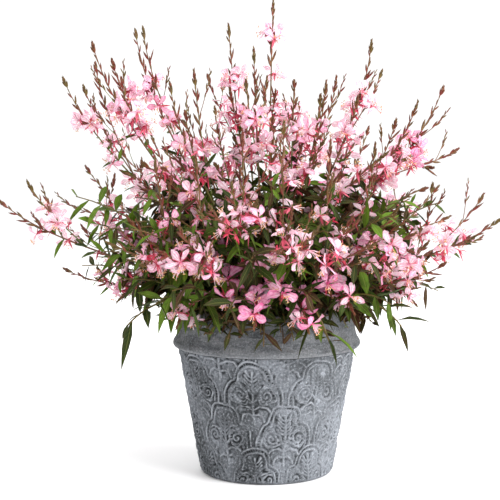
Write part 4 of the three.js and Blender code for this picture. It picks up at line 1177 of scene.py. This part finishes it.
def pot_material():
    g = Graph("weathered_cast")
    wear_and_shading, on_band, _ = g.place()
    blotch = g.noise(60, 4, 0.65)
    grit = g.noise(420, 3, 0.7)
    pits = g.node("TexVoronoi", {"Vector": g.at(), "Scale": 520.0}).outputs["Distance"]
    colour = g.tints(g.between(g.noise(13, 3), 0.36, 0.62, (66, 69, 72), (117, 121, 127)), [
        (blotch, 0.48, 0.72, 0.55, (62, 64, 66)),
        (blotch, 0.46, 0.26, 0.6, (160, 165, 172)),
        (grit, 0.5, 0.68, 0.45, (170, 174, 181)),
        (grit, 0.48, 0.32, 0.45, (46, 48, 50)),
    ])

    # Ridges painted lighter, partly rubbed wear and partly painted highlight, and painted shade with dirt in
    # the grooves beside them, fainter in some places
    broken = g.ramp(g.noise(95, 3, 0.65), 0.36, 0.6, 0.3, 1.0)
    colour = g.mix(g.times(broken, g.ramp(wear_and_shading, 0.1, 0.5, 0.0, 0.5)), colour, srgb(180, 184, 190))
    colour = g.tints(colour, [(wear_and_shading, 0.6, 1.0, 0.4, (198, 202, 208))])
    colour = g.mix(g.times(broken, g.ramp(wear_and_shading, -0.04, -0.26, 0.0, 0.95)), colour, srgb(24, 26, 28))

    # The side towards +X is a little paler: partly bleaching, partly painted light standing in for the key
    # lamp on that side
    aside = g.node("SeparateXYZ", {0: g.at()}).outputs[0]
    colour = g.tints(colour, [(g.plus(aside, g.times(blotch, 0.06)), 0.04, 0.11, 0.14, (172, 177, 184))])

    # The band's streaks and specks
    stretched = g.node("Mapping", {"Vector": g.at(), "Scale": (1, 1, 5)}).outputs["Vector"]
    streaks = g.between(g.noise(34, 4, 0.7, stretched), 0.36, 0.6, (44, 44, 44), (98, 98, 98))
    colour = g.mix(g.ramp(on_band, 0.2, 0.8, 0.0, 0.6), colour, streaks)
    speckle = g.noise(640, 3, 0.7)
    speckled = g.tints(colour, [
        (speckle, 0.54, 0.7, 0.5, (158, 161, 166)),
        (speckle, 0.46, 0.32, 0.45, (44, 46, 48)),
    ])
    g.bump(g.plus(g.plus(grit, g.times(pits, 0.8)), blotch), 0.0007, 0.9)
    return g.finish(g.mix(on_band, colour, speckled), 0.88, 0.25)


def soil_material():
    g = Graph("potting_mix")
    _, crumb, tone = g.place()
    fine = g.noise(500, 4, 0.7)
    colour = g.between(fine, 0.35, 0.7, (38, 28, 22), (84, 66, 50))
    colour = g.mix(g.times(crumb, g.ramp(tone, 0.5, 1)), colour, srgb(120, 92, 64))
    g.bump(fine, 0.0012)
    return g.finish(colour, 0.95, 0.1)


def leaf_material():
    g = Graph("leaf")
    along, across, tone = g.place()
    off = g.maths("ABSOLUTE", across)
    patch = g.noise(70, 3, 0.6)
    green = g.between(tone, 0.35, 0.95, (38, 50, 15), (92, 122, 32))
    maroon = g.between(tone, 0.0, 0.3, (64, 36, 25), (62, 48, 24))
    colour = g.mix(g.ramp(g.plus(tone, g.times(patch, 0.35)), 0.32, 0.5), maroon, green)
    colour = g.tints(colour, [(patch, 0.45, 0.75, 0.6, (30, 36, 16))])
    veins = g.maths("SINE", g.times(g.maths("SUBTRACT", along, g.times(off, 0.16)), 70.0))
    colour = g.mix(g.times(g.ramp(veins, 0.6, 1.0, 0.0, 0.2), patch), colour, srgb(130, 146, 96))
    # A painted highlight along the midrib, then reddish margins
    colour = g.tints(colour, [
        (off, 0.13, 0.03, 0.36, (138, 140, 74)),
        (off, 0.82, 1.0, 0.45, (96, 50, 44)),
    ])
    g.bump(g.plus(g.times(veins, 0.2), g.ramp(off, 0.0, 0.3)), 0.0005, 0.6)
    return g.finish(colour, g.ramp(patch, 0.3, 0.8, 0.5, 0.72), 0.12)


def stem_material():
    g = Graph("wand")
    along, _, tone = g.place()
    colour = g.tints(g.between(tone, 0.2, 0.9, (98, 106, 44), (110, 66, 40)), [
        (along, 0.3, 1.0, 0.5, (106, 56, 38)),
        (g.noise(160, 2), 0.4, 0.7, 0.6, (76, 68, 36)),
    ])
    return g.finish(colour, 0.55, 0.4)


def petal_material():
    g = Graph("petal")
    along, across, tone = g.place()
    off = g.maths("ABSOLUTE", across)
    pale = g.between(tone, 0.15, 0.95, (252, 220, 231), (248, 164, 200))
    rosy = g.between(tone, 0.15, 0.95, (244, 150, 184), (224, 56, 130))
    rim = g.maths("MAXIMUM", g.ramp(off, 0.45, 1.0), g.ramp(along, 0.7, 1.0))
    share = g.maths("MAXIMUM", g.times(rim, 0.6), g.ramp(along, 0.34, 0.08))
    mottle = g.ramp(g.noise(330, 3, 0.6), 0.35, 0.68, -0.25, 0.5)
    colour = g.mix(g.node("Clamp", {"Value": g.plus(share, mottle)}).outputs[0], pale, rosy)
    veins = g.maths("SINE", g.plus(g.times(across, 10.0), g.times(g.noise(90), 4.0)))
    fade = g.times(g.ramp(veins, 0.4, 1.0), g.ramp(along, 1.0, 0.6))
    colour = g.mix(g.times(fade, 0.6), colour, srgb(210, 76, 126))
    g.bump(veins, 0.0002, 0.5)
    return g.finish(colour, 0.55, 0.3, light_through=0.5)


def calyx_material():
    g = Graph("calyx")
    along, _, tone = g.place()
    colour = g.tints(g.between(tone, 0.1, 0.9, (214, 96, 118), (168, 26, 54)), [
        (g.noise(180), 0.4, 0.7, 0.6, (196, 42, 76)),
        (along, 0.3, 0.0, 0.6, (134, 62, 50)),
    ])
    return g.finish(colour, 0.5, 0.4)


def thread_material():
    g = Graph("stamen")
    along, anther, tone = g.place()
    thread = g.between(along, 0.0, 0.9, (238, 150, 176), (250, 226, 226))
    head = g.between(tone, 0.2, 0.9, (214, 168, 110), (184, 92, 66))
    return g.finish(g.mix(anther, thread, head), 0.6, 0.3)


def bud_material():
    g = Graph("bud")
    along, _, tone = g.place()
    red = g.between(along, 0.1, 0.9, (122, 40, 38), (88, 46, 30))
    olive = g.between(along, 0.1, 0.9, (104, 90, 38), (74, 58, 28))
    colour = g.mix(g.ramp(tone, 0.25, 0.85), red, olive)
    colour = g.tints(colour, [(g.noise(240, 3, 0.6), 0.42, 0.72, 0.5, (126, 92, 54))])
    return g.finish(colour, 0.6, 0.35)


def make_stage():
    """A pale floor, and a white surround."""
    floor = bpy.data.meshes.new("floor")
    corners = [(-FLOOR_REACH, -FLOOR_REACH, 0), (FLOOR_REACH, -FLOOR_REACH, 0), (FLOOR_REACH, FLOOR_REACH, 0),
               (-FLOOR_REACH, FLOOR_REACH, 0)]
    floor.from_pydata(corners, [], [range(4)])
    stage = bpy.data.objects.new("floor", floor)
    stage.location.z = -FLOOR_DROP
    bpy.context.scene.collection.objects.link(stage)
    g = Graph("pale_floor")
    floor.materials.append(g.finish((0.95, 0.95, 0.955), 0.8, 0.2))
    world = bpy.context.scene.world or bpy.data.worlds.new("surround")
    bpy.context.scene.world = world
    world.use_nodes = True
    surround = world.node_tree.nodes["Background"]
    surround.inputs["Color"].default_value = (1, 1, 1, 1)
    surround.inputs["Strength"].default_value = SURROUND_LIGHT


def aimed(thing, place, aim):
    """Puts a lamp or a camera in its place and turns it to what it points at."""
    thing.location = place
    thing.rotation_euler = (Vector(aim) - Vector(place)).to_track_quat("-Z", "Y").to_euler()
    bpy.context.scene.collection.objects.link(thing)


def make_light(name, place, size, power):
    light = bpy.data.lights.new(name, "AREA")
    light.shape = "DISK"
    light.size = size
    light.energy = power
    aimed(bpy.data.objects.new(name, light), place, LIGHTS_AIM)


def make_camera():
    """The photograph's viewpoint."""
    camera = bpy.data.cameras.new("camera")
    camera.lens = CAMERA_LENS
    camera.clip_end = FARTHEST_SEEN
    view = bpy.data.objects.new("camera", camera)
    aimed(view, CAMERA_PLACE, CAMERA_AIM)
    bpy.context.scene.camera = view


make_camera()
make_stage()
make_light("key", (2.1, -1.3, 1.8), 2.4, 128)
make_light("back", (-0.4, 1.9, 1.8), 1.4, 22)
bpy.context.scene.view_settings.view_transform = "Standard"

plant_materials = [leaf_material(), stem_material(), petal_material(), calyx_material(), thread_material(),
                   bud_material()]
make_pot(pot_material())
make_soil(soil_material())
for stem_index, stem_tips in enumerate(STEMS):
    grow_stem(stem_index, stem_tips, plant_materials)
for shoot_index, shoot_places in enumerate(RIM_SHOOTS):
    grow_rim_shoot(shoot_index, shoot_places, plant_materials)
grow_mound(plant_materials)
grow_added_sprays(plant_materials)
